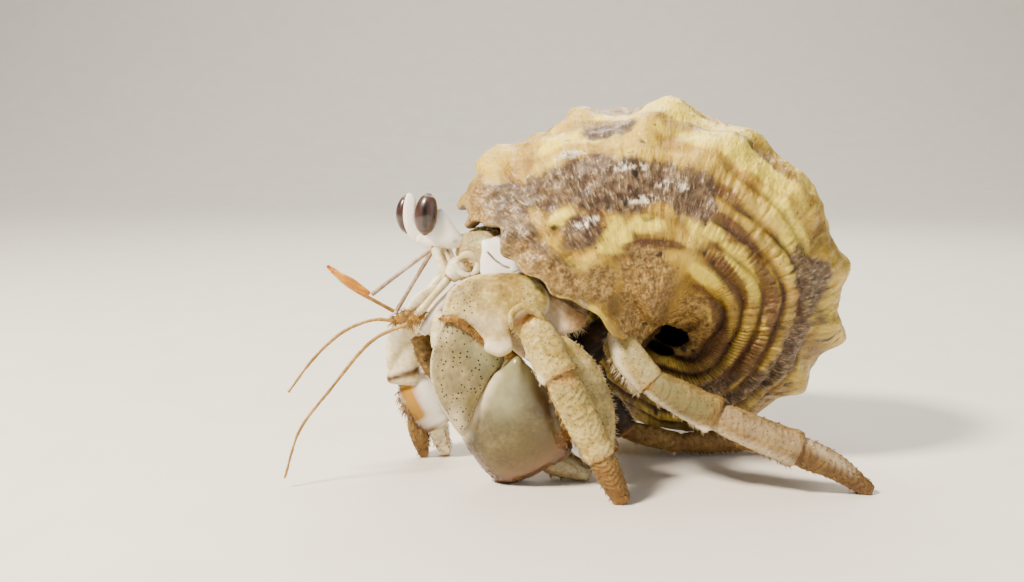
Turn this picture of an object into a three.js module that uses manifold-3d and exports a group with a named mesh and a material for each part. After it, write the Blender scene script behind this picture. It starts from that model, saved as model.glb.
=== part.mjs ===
// A land hermit crab walking in a turban snail shell, life size.
// Millimetres, +Z up, the crab faces -X and stands on the plane z = 0.
import * as THREE from 'three';
import { mergeVertices } from 'three/addons/utils/BufferGeometryUtils.js';
import Module from 'manifold-3d';

const wasm = await Module();
wasm.setup();

// ---- Driving dimensions -------------------------------------------------

const jointGap = 0.3; // clear space between neighbouring plates
const centreShift = [0.3, -5.2, 0]; // brings the middle of the crab's box over the origin

const shellRim = 28.2; // axis of the shell to the outer edge of its lip
const whorlGrowth = 2.12; // how much each whorl is larger than the one before
const lipAngle = 149; // where the last whorl stops, counted round the axis
const whorlCount = 2.4;
const shellWall = 1.3;
const mouthDepth = 80; // degrees of the last whorl that are open inside
const innerWhorl = 288; // degrees behind the lip where the whorl before stops
const umbilicus = [9.5, -6, 17.2]; // hollow at the foot of the shell's axis
const umbilicusDrop = 33.5; // from the tip of the spire down to it
const shellYaw = 11; // degrees that the spire points back
const shellTilt = 6; // degrees that it points up
const knobSpacing = 24; // degrees of a turn from one shoulder knob to the next
const knobHeight = 0.088; // share of the whorl's half breadth

// A whorl's section, as shares of the whorl's size: its middle stands off the
// axis and below the tip, and it is nearly round.
const whorlOffAxis = 0.52;
const whorlHalfBreadth = 0.48;
const whorlBelowTip = 0.9;
const whorlHalfHeight = 0.5;

// ---- Solids -------------------------------------------------------------

function toSolid(geometry) {
  const bare = geometry.clone();
  bare.deleteAttribute('normal');
  bare.deleteAttribute('uv');
  const merged = mergeVertices(bare, 1e-5);
  return new wasm.Manifold(new wasm.Mesh({
    numProp: 3,
    vertProperties: new Float32Array(merged.attributes.position.array),
    triVerts: new Uint32Array(merged.index.array),
  }));
}

function toGeometry(solid) {
  const mesh = solid.getMesh();
  const geometry = new THREE.BufferGeometry();
  geometry.setAttribute('position', new THREE.BufferAttribute(mesh.vertProperties, 3));
  geometry.setIndex(new THREE.BufferAttribute(mesh.triVerts, 1));
  geometry.computeVertexNormals();
  return geometry;
}

function largestPiece(solid) {
  const pieces = solid.decompose();
  pieces.sort((a, b) => b.volume() - a.volume());
  return pieces[0];
}

// A closed skin over a row of rings, each ring the same number of points.
function skinRings(rings) {
  const around = rings[0].length;
  const positions = rings.flat().flatMap((point) => point.toArray());
  const faces = [];
  for (let ring = 0; ring < rings.length - 1; ring += 1) {
    for (let i = 0; i < around; i += 1) {
      const next = (i + 1) % around;
      const a = ring * around + i;
      const b = ring * around + next;
      faces.push(a, b, b + around, a, b + around, a + around);
    }
  }
  for (const [ring, turned] of [[0, true], [rings.length - 1, false]]) {
    const middle = rings[ring]
      .reduce((sum, point) => sum.add(point), new THREE.Vector3())
      .divideScalar(around);
    const hub = positions.length / 3;
    positions.push(...middle.toArray());
    for (let i = 0; i < around; i += 1) {
      const a = ring * around + i;
      const b = ring * around + ((i + 1) % around);
      faces.push(...(turned ? [hub, b, a] : [hub, a, b]));
    }
  }
  const geometry = new THREE.BufferGeometry();
  geometry.setAttribute('position', new THREE.Float32BufferAttribute(positions, 3));
  geometry.setIndex(faces);
  return geometry;
}

// A body of oval section along a smooth line. `broad` holds half breadths
// towards `side` and `thick` half thicknesses, spread evenly from end to end.
function loft({ line, broad, thick, side, sides, rings }, grow = 0) {
  const points = line.map((point) => new THREE.Vector3(...point));
  const curve = new THREE.CatmullRomCurve3(points, false, 'centripetal');
  const sideways = new THREE.Vector3(...side);
  const endRound = 0.45; // how far a round end stands out, as a share of its thickness
  const ringAt = (t, shrink, outward) => {
    const tangent = curve.getTangentAt(t);
    const across = sideways.clone().addScaledVector(tangent, -sideways.dot(tangent)).normalize();
    const up = new THREE.Vector3().crossVectors(tangent, across);
    const centre = curve.getPointAt(t).addScaledVector(tangent, outward);
    const halfBroad = (blend(broad, t) + grow) * shrink;
    const halfThick = (blend(thick, t) + grow) * shrink;
    const ring = [];
    for (let i = 0; i < sides; i += 1) {
      const angle = (i / sides) * Math.PI * 2;
      ring.push(centre.clone()
        .addScaledVector(across, halfBroad * Math.cos(angle))
        .addScaledVector(up, halfThick * Math.sin(angle)));
    }
    return ring;
  };
  const startOut = blend(thick, 0) * endRound + grow;
  const endOut = blend(thick, 1) * endRound + grow;
  const ringList = [ringAt(0, 0.6, -startOut)];
  for (let i = 0; i < rings; i += 1) {
    ringList.push(ringAt(i / (rings - 1), 1, 0));
  }
  ringList.push(ringAt(1, 0.6, endOut));
  return toSolid(skinRings(ringList));
}

// A plate of the cuticle: its outline, clockwise as [x, z] points, lies on a
// leaning plane, and it is domed to the front and to the back round its crown.
// `lean` holds the plane's y at the ground and how far y moves for each unit up.
function plate({ outline, lean, crown, front, back, sides }, grow = 0) {
  const [groundY, slope] = lean;
  const onPlane = ([x, z]) => new THREE.Vector3(x, groundY + slope * z, z);
  const curve = new THREE.CatmullRomCurve3(outline.map(onPlane), true, 'centripetal');
  const rim = curve.getSpacedPoints(sides).slice(0, sides);
  const middle = onPlane(crown);
  const outward = new THREE.Vector3(0, -1, slope).normalize();
  const ringAt = (share, rise) => rim.map((point) => {
    const spoke = point.clone().sub(middle);
    spoke.setLength((spoke.length() + grow) * share);
    return middle.clone().add(spoke).addScaledVector(outward, rise * plateProfile(share));
  });
  const shares = [0.45, 0.82];
  return toSolid(skinRings([
    ...shares.map((share) => ringAt(share, front + grow)),
    ringAt(1, 0),
    ...shares.toReversed().map((share) => ringAt(share, -back - grow)),
  ]));
}

// Height of a dome, as a share of its rise, at a share of the way out to its rim.
function plateProfile(share) {
  return (1 - share ** 2.6) ** 0.55;
}

// A value read from evenly spread ones, on a smooth curve through them.
function blend(values, t) {
  const last = values.length - 1;
  const low = Math.min(Math.floor(t * last), last - 1);
  const part = t * last - low;
  const b = values[low];
  const c = values[low + 1];
  const a = values[low - 1] ?? 2 * b - c;
  const d = values[low + 2] ?? 2 * c - b;
  const bend = 2 * a - 5 * b + 4 * c - d;
  const twist = 3 * b - a - 3 * c + d;
  return 0.5 * (2 * b + (c - a) * part + bend * part ** 2 + twist * part ** 3);
}

// ---- The shell ----------------------------------------------------------

const yaw = THREE.MathUtils.degToRad(shellYaw);
const tilt = THREE.MathUtils.degToRad(shellTilt);
const toTip = new THREE.Vector3(
  Math.cos(tilt) * Math.sin(yaw),
  Math.cos(tilt) * Math.cos(yaw),
  Math.sin(tilt),
);
const outRight = new THREE.Vector3(1, 0, 0).addScaledVector(toTip, -toTip.x).normalize();
const outUp = new THREE.Vector3().crossVectors(outRight, toTip);
const spireTip = new THREE.Vector3(...umbilicus).addScaledVector(toTip, umbilicusDrop);

// One point of a whorl: `around` is counted in degrees round the axis and
// `over` round the section, from 0 at the rim to 90 at the base.
function whorlPoint(around, over, inset, squeeze = 1) {
  const size = shellRim * whorlGrowth ** ((around - lipAngle) / 360);
  const section = THREE.MathUtils.degToRad(over);
  const turn = THREE.MathUtils.degToRad(around);
  const shoulder = Math.exp(-((over / 30) ** 2));
  const knobPhase = (2 * Math.PI * (around - lipAngle)) / knobSpacing;
  const knob = inset > 0 ? 0 : knobHeight * shoulder * (0.5 - 0.5 * Math.cos(knobPhase));
  const reach = squeeze * (1 + knob);
  const halfBreadth = whorlHalfBreadth * size * reach - inset;
  const halfHeight = whorlHalfHeight * size * reach - inset;
  const off = whorlOffAxis * size + halfBreadth * Math.cos(section);
  const below = whorlBelowTip * size + halfHeight * Math.sin(section);
  return spireTip.clone()
    .addScaledVector(toTip, -below)
    .addScaledVector(outRight, off * Math.cos(turn))
    .addScaledVector(outUp, off * Math.sin(turn));
}

// Degrees round the section, closest together on the shoulder and the base.
const outerPlaces = [-166, -140, -112, -88, -66, -46, -28, -12, 4, 20, 36, 54, 72, 92, 114, 140];
const innerPlaces = [-165, -135, -105, -75, -45, -15, 15, 45, 75, 105, 135, 165];

// A stretch of the coiled tube, closed at both ends.
function whorlTube(from, to, step, insetAt, squeezeAt = () => 1) {
  const places = insetAt(from) > 0 ? innerPlaces : outerPlaces;
  const count = Math.max(1, Math.round((to - from) / step));
  const rings = [];
  for (let i = 0; i <= count; i += 1) {
    const around = from + ((to - from) * i) / count;
    const ring = places.map((over) => whorlPoint(around, over, insetAt(around), squeezeAt(around)));
    rings.push(ring.reverse());
  }
  return toSolid(skinRings(rings));
}

function coiledTube(inset, end = lipAngle) {
  const stretch = 3 * knobSpacing;
  const start = lipAngle - Math.round((whorlCount * 360) / stretch) * stretch;
  let tube = null;
  for (let from = start; from < end - 1; from += stretch) {
    const to = Math.min(from + stretch, end);
    const step = from > lipAngle - 370 ? knobSpacing / 2 : knobSpacing;
    const piece = whorlTube(from, to, step, () => inset);
    tube = tube ? tube.add(piece) : piece;
  }
  return tube;
}

const mouthEnd = lipAngle - mouthDepth;
const narrowing = (around) => 0.72 + 0.28 * Math.min(1, (around - mouthEnd) / 30);

// The whorl before bulges into the mouth, so the hollow goes round it.
function mouthHollow(inset, grow) {
  return whorlTube(mouthEnd, lipAngle + 4, 14, () => inset, narrowing)
    .subtract(coiledTube(-grow, lipAngle - innerWhorl));
}

function shellSolid(grow = 0) {
  return coiledTube(-grow).subtract(mouthHollow(shellWall + grow, grow));
}

// ---- The crab -----------------------------------------------------------

const acrossBody = [0.28, 0.96, 0];
const upright = [0, 0, 1];
const facePlate = [0.3, 0, 1]; // breadth of limbs that show their flat side to the left

// A limb is a chain of segments between its joints. Each segment has half
// breadths and half thicknesses from its near end to its far end, and may bow.
function limb(name, joints, segments, side = facePlate) {
  return segments.map((segment, i) => {
    const near = new THREE.Vector3(...joints[i]);
    const far = new THREE.Vector3(...joints[i + 1]);
    const middle = near.clone().lerp(far, 0.5).add(new THREE.Vector3(...(segment.bow ?? [0, 0, 0])));
    return {
      name: `${name}_${segment.part}`,
      colour: segment.colour,
      shape: {
        line: [near.toArray(), middle.toArray(), far.toArray()],
        broad: segment.broad,
        thick: segment.thick,
        side: segment.side ?? side,
        sides: segment.sides ?? 7,
        rings: segment.rings ?? 3,
      },
    };
  });
}

const plateCream = '#cfc4a4';
const plateGrey = '#b9ae8c';
const palmGreen = '#9c9463';
const limbWhite = '#e9e4d8';
const softPink = '#d9c3ae';
const feelerStraw = '#c9a66b';
const eyeBrown = '#4b332c';

// The plates that the left claw and the leg beside it turn to the left.
const palmPlate = {
  outline: [
    [-7.2, 15.9], [-5.9, 14.9], [-4.3, 13.3], [-2.8, 11.6], [-1.9, 9.4], [-1.1, 6.8], [-0.6, 4.6],
    [-1.2, 3.2], [-3.2, 2.1], [-5, 0.9], [-8.1, -0.2], [-10.1, 0.8], [-11.6, 2.8], [-13.1, 5.8],
    [-12.3, 7.9], [-11.2, 10.6], [-9.5, 13.3],
  ],
  lean: [-5.4, -0.32],
  crown: [-6.6, 7],
  front: 2.6,
  back: 3.2,
  sides: 22,
};
const carpusPlate = {
  outline: [
    [-15, 19.8], [-12.9, 20.6], [-10.6, 19.6], [-8.6, 17.6], [-8.4, 14.8], [-10.4, 11.9],
    [-11.6, 9.8], [-12.3, 7.9], [-13, 6.5], [-13.9, 7.3], [-14.9, 8.8], [-16, 10.6],
    [-16.6, 12.6], [-16.7, 14.8], [-16.1, 17.3],
  ],
  lean: [-10, 0.12],
  crown: [-12.8, 14.6],
  front: 2.2,
  back: 2.6,
  sides: 22,
};
const clawMerusPlate = {
  outline: [
    [-15.2, 20.3], [-14.8, 22.5], [-13.4, 23.8], [-11.7, 24.5], [-8.6, 24.9], [-5.9, 24.7],
    [-4, 23.5], [-3.2, 21.5], [-4.4, 19.6], [-7.3, 18.8], [-7.5, 16.9], [-8.6, 16.1],
    [-10.3, 16.5], [-10.5, 17.5], [-12.2, 19.2], [-13.7, 20],
  ],
  lean: [-17, 0.4],
  crown: [-8.6, 21.4],
  front: 1.5,
  back: 2.2,
  sides: 22,
};
const legMerusPlate = {
  outline: [
    [-7.6, 19.4], [-7.5, 20.9], [-6.5, 21.7], [-5.2, 21.5], [-4.1, 20.1], [-3.1, 18.5],
    [-1.5, 18.1], [0, 17], [1.6, 15.4], [2.8, 13.3], [3.7, 11], [4.2, 8.2], [4.2, 4.8],
    [3.7, 2.4], [2.4, 2.9], [1.2, 5.7], [-0.5, 9.4], [-2.1, 13.1], [-4.4, 16.6], [-6.6, 18],
  ],
  lean: [-7, -0.19],
  crown: [0.6, 11.6],
  front: 1.2,
  back: 1.8,
  sides: 22,
};

const leftClaw = [
  { name: 'claw_left_palm', colour: palmGreen, plate: palmPlate },
  ...limb('claw_left', [[-3.6, -5.4, 3], [1.4, -5.6, 0.8]], [
    { part: 'finger', broad: [1.9, 1.6, 0.9], thick: [1.8, 1.4, 0.8], colour: palmGreen },
  ]),
  { name: 'claw_left_merus', colour: plateCream, plate: clawMerusPlate },
  { name: 'claw_left_carpus', colour: plateGrey, plate: carpusPlate },
];

const rightClaw = [
  ...limb('claw_right', [[-19.6, 3.1, 5.2], [-18.6, 3.6, 0.3]], [
    { part: 'finger', broad: [1.2, 1.1, 0.6], thick: [1.3, 1.1, 0.6], colour: plateCream },
  ], [1, 0, 0.2]),
  ...limb('claw_right', [[-19.9, 2.8, 10.4], [-17, 3.3, 4.6], [-15.9, 4.2, 0.3]], [
    { part: 'palm', broad: [2.2, 2.7, 2], thick: [1.9, 2.1, 1.6], colour: limbWhite },
    { part: 'thumb', broad: [1.3, 1.1, 0.6], thick: [1.4, 1.1, 0.6], colour: limbWhite },
  ], [1, 0, 0.4]),
  ...limb('claw_right', [[-9.5, 2.4, 18.4], [-19.6, 1.7, 17.6], [-21, 2.4, 10.4]], [
    { part: 'merus', broad: [1.9, 2.3, 1.8], thick: [1.6, 1.9, 1.6], colour: limbWhite },
    { part: 'carpus', broad: [1.7, 2.2, 1.9], thick: [1.8, 2.1, 1.8], bow: [-0.4, 0, 0],
      colour: limbWhite, side: [1, 0, 0.2] },
  ]),
];

const legSegments = [
  { part: 'ischium', broad: [1.6, 1.5, 1.4], thick: [1.5, 1.4, 1.3], colour: plateCream },
  { part: 'merus', broad: [1.5, 2.9, 2], thick: [1.2, 1.6, 1.4], colour: plateCream },
  { part: 'carpus', broad: [1.7, 2.1, 2], thick: [1.4, 1.7, 1.5], colour: plateCream },
  { part: 'propodus', broad: [1.8, 1.9, 1.6], thick: [1.4, 1.5, 1.3], colour: plateCream },
  { part: 'dactylus', broad: [1.5, 1.3, 0.7], thick: [1.2, 1.1, 0.6], colour: plateGrey },
];

// Legs list their joints from the body to the tip. A broad flat merus is a plate.
function walkingLeg(name, joints, changes = {}, merusPlate = null) {
  const segments = legSegments.map((segment) => ({ ...segment, ...(changes[segment.part] ?? {}) }));
  const pieces = limb(name, joints, segments);
  if (merusPlate) {
    pieces[1] = { name: `${name}_merus`, colour: plateCream, plate: merusPlate };
  }
  return pieces.reverse();
}

const frontLegLeft = walkingLeg('leg2_left', [
  [1.5, -2.4, 10.6], [3.5, -6.9, 4], [-5.4, -10.6, 19.9], [-2.5, -12.7, 14.4], [2.1, -13.1, 5.5],
  [4.6, -13, 0.35],
], {}, legMerusPlate);

const rearLegLeft = walkingLeg('leg3_left', [
  [0.5, -1.6, 15.2], [4.2, -5, 18.8], [8.2, -8, 12.4], [15.2, -9.1, 8.9], [24.4, -10.1, 5.2],
  [32.8, -9.8, 0.4],
], {
  merus: { broad: [1.6, 2, 2], bow: [-0.3, 0, -0.3] },
  carpus: { broad: [1.7, 1.9, 2.1] },
  propodus: { broad: [1.7, 1.9, 2] },
  dactylus: { broad: [1.8, 1.4, 0.7], bow: [0.2, 0, 0.4] },
});

const frontLegRight = walkingLeg('leg2_right', [
  [-1.6, 5.2, 14.4], [-2.4, 8.2, 12.6], [-8.6, 12.6, 17.4], [-8.8, 15.4, 11.6], [-6, 17.6, 4.8],
  [-3.6, 18.2, 0.35],
], { merus: { broad: [1.5, 2.2, 1.8] } });

const rearLegRight = walkingLeg('leg3_right', [
  [2.4, 2.6, 11.6], [3.4, 3.6, 8.4], [6.8, 3.2, 3.6], [13.2, 3.2, 2], [22, 4.4, 1.9],
  [29.4, 6, 0.45],
], {
  merus: { broad: [1.4, 1.7, 1.5] },
  carpus: { broad: [1.2, 1.3, 1.2], thick: [1.2, 1.3, 1.2] },
  propodus: { broad: [1.1, 1.3, 1.2], thick: [1.1, 1.2, 1.1] },
  dactylus: { broad: [1.2, 1, 0.6], thick: [1, 0.9, 0.6] },
});

// Each eye is a tall brown leaf on a flat white stalk.
const eyeLeaf = { part: 'cornea', colour: eyeBrown, sides: 8, rings: 6 };
const leftStalkPlate = {
  outline: [
    [-15.6, 31.9], [-14.2, 30], [-12.9, 28.1], [-13.2, 27.5], [-15.5, 27.4], [-17.6, 28.9],
    [-16.6, 31],
  ],
  lean: [-4, 0],
  crown: [-15, 28.9],
  front: 0.9,
  back: 1.2,
  sides: 12,
};
const rightStalkPlate = {
  outline: [
    [-19.7, 33.4], [-18.8, 32.9], [-18.6, 30.2], [-17.7, 28.3], [-17.8, 27.5], [-19.2, 27.9],
    [-20.2, 30.8],
  ],
  lean: [-1.6, 0],
  crown: [-19.3, 30.3],
  front: 0.5,
  back: 1.1,
  sides: 12,
};
const eyes = [
  ...limb('eye_left', [[-17.5, -4.6, 28.9], [-16.9, -4.6, 33.5]], [
    { ...eyeLeaf, broad: [0.35, 1.15, 1.35, 1.15, 0.35], thick: [0.3, 1, 1.15, 1, 0.3],
      bow: [-0.1, -0.2, 0] },
  ], [1, -0.35, 0]),
  ...limb('eye_right', [[-19.9, -0.2, 28.7], [-19.9, -0.2, 33.1]], [
    { ...eyeLeaf, broad: [0.35, 1.1, 1.3, 1.1, 0.35], thick: [0.3, 0.85, 1, 0.85, 0.3],
      bow: [-0.3, 0, 0] },
  ], [0.25, 1, 0]),
  { name: 'eye_left_stalk', colour: limbWhite, plate: leftStalkPlate },
  { name: 'eye_right_stalk', colour: limbWhite, plate: rightStalkPlate },
  ...limb('eye_right', [[-15.2, -1.4, 27.3], [-18.4, -1.8, 28.2]], [
    { part: 'foot', broad: [0.8, 0.75, 0.6], thick: [0.8, 0.7, 0.5], colour: limbWhite },
  ], [1, 0, 0.6]),
];

const bladeSide = [-0.6, 0, 0.8];
const antennules = [
  ...limb('antennule_left', [[-24, -4.6, 22.1], [-28.1, -4.7, 24.7]], [
    { part: 'blade', broad: [0.35, 0.5, 0.3], thick: [0.3, 0.35, 0.27], colour: feelerStraw, sides: 5 },
  ], bladeSide),
  ...limb('antennule_left', [[-16.6, -3.6, 27.3], [-23.6, -4.6, 22]], [
    { part: 'rod', broad: [0.45, 0.38, 0.42], thick: [0.45, 0.38, 0.42], colour: softPink, sides: 5 },
  ]),
  ...limb('antennule_right', [[-21.5, -2, 19.6], [-24.8, -2.7, 21.6], [-28.9, -3.3, 25.1]], [
    { part: 'joint', broad: [0.35, 0.33, 0.35], thick: [0.35, 0.33, 0.35], colour: feelerStraw, sides: 5 },
    { part: 'blade', broad: [0.35, 0.5, 0.3], thick: [0.3, 0.35, 0.27], colour: feelerStraw, sides: 5 },
  ], bladeSide),
  ...limb('antennule_right', [[-17, -2.4, 26.5], [-21.1, -2, 19.7]], [
    { part: 'rod', broad: [0.45, 0.38, 0.42], thick: [0.45, 0.38, 0.42], colour: softPink, sides: 5 },
  ]),
  ...limb('antennule_left', [[-16.3, -4.1, 27.2], [-14.9, -4.8, 24]], [
    { part: 'base', broad: [0.6, 0.6, 0.6], thick: [0.6, 0.6, 0.6], colour: limbWhite },
  ]),
  ...limb('antennule_right', [[-15.2, -3.2, 27.2], [-13.9, -3.7, 24.6]], [
    { part: 'base', broad: [0.6, 0.6, 0.6], thick: [0.6, 0.6, 0.6], colour: limbWhite },
  ]),
];

// A feeler is a thin whip along a hand-laid line.
function feeler(name, line) {
  return {
    name,
    colour: feelerStraw,
    shape: {
      line, broad: [0.36, 0.3, 0.26], thick: [0.36, 0.3, 0.26], side: upright, sides: 5, rings: 9,
    },
  };
}

const antennae = [
  feeler('antenna_left_whip', [
    [-18.8, -7, 19.2], [-23.6, -6.7, 16.8], [-28.3, -7, 11.3], [-31.8, -7.5, 6.7], [-33.6, -8, 1.2],
  ]),
  feeler('antenna_right_whip', [
    [-20.8, -4.4, 18.8], [-23.6, -4.7, 19], [-27.1, -5, 17.6], [-30.4, -5.6, 14.6], [-33.3, -6, 10.8],
  ]),
  ...limb('antenna_left', [[-12.8, -5.9, 25.9], [-14.6, -6.2, 24.2], [-18.2, -7, 20]], [
    { part: 'joint', broad: [1.5, 1.6, 0.9], thick: [1.1, 1.1, 0.8], colour: limbWhite, side: [0.6, 0, 1] },
    { part: 'base', broad: [0.8, 0.55, 0.6], thick: [0.8, 0.55, 0.6], colour: limbWhite },
  ]),
  ...limb('antenna_right', [[-15.4, -3.4, 24.2], [-19.9, -4.6, 19.4]], [
    { part: 'base', broad: [0.8, 0.6, 0.55], thick: [0.8, 0.6, 0.55], colour: limbWhite },
  ]),
];

const mouthLegs = [
  ...limb('maxilliped_left', [[-16.3, -7.2, 16.3], [-15.6, -7, 20.3]], [
    { part: 'tip', broad: [0.5, 0.95, 0.6], thick: [0.5, 0.6, 0.5], colour: plateCream },
  ]),
  ...limb('maxilliped_left', [[-17.7, -6.5, 17.9], [-13.4, -5.2, 22.6]], [
    { part: 'arm', broad: [0.9, 1.2, 1.1], thick: [0.7, 0.9, 1], colour: limbWhite },
  ]),
  ...limb('maxilliped_right', [[-16.6, -2.4, 11.8], [-18.3, -2.6, 16.6], [-13.8, -1.4, 21.6]], [
    { part: 'tip', broad: [0.9, 1.4, 1.2], thick: [0.7, 1, 0.9], colour: plateCream },
    { part: 'arm', broad: [1, 1.1, 1.1], thick: [0.8, 0.9, 1], colour: limbWhite },
  ]),
];

const trunk = [
  {
    name: 'carapace_shield',
    colour: limbWhite,
    shape: {
      line: [[-13, -3, 26.9], [-8.6, -1.9, 26.4], [-4, -0.6, 24.8]],
      broad: [2.8, 4.9, 4.6], thick: [2.4, 3.3, 2.3], side: acrossBody, sides: 8, rings: 4,
    },
  },
  {
    name: 'carapace_rear',
    colour: softPink,
    shape: {
      line: [[-5.6, -2.2, 21.8], [-2.4, -1.8, 21.2], [0.6, -0.8, 20.4]],
      broad: [5.4, 5.6, 3.4], thick: [2.4, 2.4, 1.4], side: acrossBody, sides: 8, rings: 4,
    },
  },
  {
    name: 'thorax',
    colour: softPink,
    shape: {
      line: [[-13.4, -3.4, 23.4], [-8, -2, 19.8], [-1.6, -0.2, 15.6], [3.4, 1.4, 13.6]],
      broad: [3.2, 4.4, 4.8, 3.8], thick: [1.9, 3.4, 4, 3], side: acrossBody, sides: 7, rings: 4,
    },
  },
];

// The soft belly lies in the mouth of the shell and rounds off at its edge.
function bellySolid(grow = 0) {
  const bellyGap = 1.9; // from the shell's inner wall
  const from = mouthEnd + 7;
  const to = lipAngle - 6;
  const rounded = (around) => narrowing(around) * Math.min(
    1,
    0.62 + (0.38 * (around - from)) / 12,
    0.5 + (0.5 * (to - around)) / 16,
  );
  return whorlTube(from, to, 12, () => shellWall + bellyGap - grow, rounded);
}

// ---- Assembly -----------------------------------------------------------

// Pieces come in order of who keeps its shape: each is cut clear of those
// before it.
const pieces = [
  { name: 'shell', colour: '#b9a25c', solid: shellSolid(), grown: () => shellSolid(jointGap) },
  ...[
    ...eyes, ...leftClaw, ...frontLegLeft, ...rearLegLeft, ...rightClaw, ...frontLegRight,
    ...rearLegRight, ...antennules, ...antennae, ...mouthLegs, ...trunk,
  ].map(({ name, colour, shape, plate: plateShape }) => ({
    name,
    colour,
    solid: plateShape ? plate(plateShape) : loft(shape),
    grown: () => (plateShape ? plate(plateShape, jointGap) : loft(shape, jointGap)),
  })),
  { name: 'belly', colour: softPink, solid: bellySolid(), grown: () => bellySolid(jointGap) },
];

// Everything that reaches the ground ends in a small flat at z = 0.
const ground = toSolid(new THREE.BoxGeometry(200, 200, 20).translate(0, 0, -10));

function boxOf(solid) {
  const { min, max } = solid.boundingBox();
  return new THREE.Box3(new THREE.Vector3(...min), new THREE.Vector3(...max));
}

const crab = new THREE.Group();
crab.position.set(...centreShift);
const placed = [];
for (const piece of pieces) {
  let solid = piece.solid.subtract(ground);
  const reach = boxOf(solid).expandByScalar(jointGap);
  for (const earlier of placed) {
    if (reach.intersectsBox(earlier.box)) {
      earlier.grownSolid ??= earlier.grown();
      solid = solid.subtract(earlier.grownSolid);
    }
  }
  solid = largestPiece(solid);
  placed.push({ grown: piece.grown, box: boxOf(solid) });
  const material = new THREE.MeshStandardMaterial({
    color: piece.colour,
    roughness: 0.55,
    metalness: 0,
  });
  const mesh = new THREE.Mesh(toGeometry(solid), material);
  mesh.name = piece.name;
  crab.add(mesh);
}

export default crab;
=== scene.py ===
import bpy
import math
import mathutils
import numpy as np
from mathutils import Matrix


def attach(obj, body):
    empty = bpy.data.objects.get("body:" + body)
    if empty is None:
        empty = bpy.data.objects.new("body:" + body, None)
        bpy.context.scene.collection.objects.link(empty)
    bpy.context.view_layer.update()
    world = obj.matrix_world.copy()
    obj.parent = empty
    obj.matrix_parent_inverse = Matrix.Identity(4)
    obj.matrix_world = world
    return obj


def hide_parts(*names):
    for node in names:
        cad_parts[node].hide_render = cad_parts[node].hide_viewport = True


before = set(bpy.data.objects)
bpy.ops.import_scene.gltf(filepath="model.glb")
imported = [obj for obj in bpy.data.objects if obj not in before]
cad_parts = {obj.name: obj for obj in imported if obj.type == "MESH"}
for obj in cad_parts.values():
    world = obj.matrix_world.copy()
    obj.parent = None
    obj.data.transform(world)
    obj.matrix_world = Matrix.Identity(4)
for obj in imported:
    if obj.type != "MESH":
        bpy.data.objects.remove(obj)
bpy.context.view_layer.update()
print("frame loaded")

mm = 0.001  # lengths below are millimetres, as in the frame's own layout
shift = np.array((0.3, -5.2, 0.0))  # from the layout's zero to the middle of the crab's box


def toMetres(points):
    return (np.asarray(points, float) + shift) * mm


def hexColour(code):  # sRGB hex to linear
    values = [int(code[i:i + 2], 16) / 255 for i in (1, 3, 5)]
    linear = [v / 12.92 if v <= 0.04045 else ((v + 0.055) / 1.055) ** 2.4 for v in values]
    return (*linear, 1.0)


def perMm(size):  # texture scale for a pattern that repeats every `size` mm
    return 1 / (size * mm)


def fract(values):
    return values - np.floor(values)


def unit(vectors):
    return vectors / np.maximum(np.linalg.norm(vectors, axis=-1, keepdims=True), 1e-9)


def bump(values, middle, width):
    return np.exp(-((values - middle) / width) ** 2)


def between(values, low, high):  # 0 below low, 1 above high, smooth between
    part = np.clip((values - low) / (high - low), 0, 1)
    return part * part * (3 - 2 * part)


def latticeValue(cells, seed):  # one repeatable number from 0 to 1 for each whole cell
    mixed = cells[..., 0] * 127.1 + cells[..., 1] * 311.7 + cells[..., 2] * 74.7 + seed * 19.19
    return fract(np.sin(mixed) * 43758.5453)


def noiseAt(points, size, seed=0, layers=3):  # smooth noise from -1 to 1, about `size` mm across
    total, height, reach = 0.0, 1.0, 0.0
    for layer in range(layers):
        scaled = np.asarray(points) / size * 2 ** layer + layer * 17.3
        cell = np.floor(scaled)
        part = scaled - cell
        part = part * part * (3 - 2 * part)
        value = 0.0
        for corner in range(8):
            step = np.array([corner & 1, corner >> 1 & 1, corner >> 2 & 1])
            weight = np.prod(np.where(step, part, 1 - part), axis=-1)
            value = value + weight * latticeValue(cell + step, seed)
        total = total + height * (value * 2 - 1)
        reach += height
        height *= 0.5
    return total / reach


def grainsAt(points, size, seed=0):  # rounded grains, 1 on each top and 0 between, `size` mm apart
    scaled = np.asarray(points) / size
    cell = np.floor(scaled)
    nearest = np.full(scaled.shape[:-1], 9.0)
    for step in np.ndindex(3, 3, 3):
        other = cell + np.array(step) - 1
        spot = np.stack([latticeValue(other, seed + k) for k in range(3)], axis=-1)
        nearest = np.minimum(nearest, np.linalg.norm(other + spot - scaled, axis=-1))
    return 1 - between(nearest, 0.0, 0.55)


def catmull(a, b, c, d, t):  # a smooth step from b to c, led by their neighbours
    bend = (2 * a - 5 * b + 4 * c - d) * t ** 2
    swing = (3 * b - a - 3 * c + d) * t ** 3
    return 0.5 * (2 * b + (c - a) * t + bend + swing)


def blend(values, t):  # read evenly spread values on a smooth curve
    place = np.clip(t, 0, 1) * (len(values) - 1)
    low = np.minimum(np.floor(place).astype(int), len(values) - 2)
    values = np.asarray(values, float)
    padded = np.concatenate([[2 * values[0] - values[1]], values, [2 * values[-1] - values[-2]]])
    return catmull(*(padded[low + k] for k in range(4)), place - low)


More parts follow.
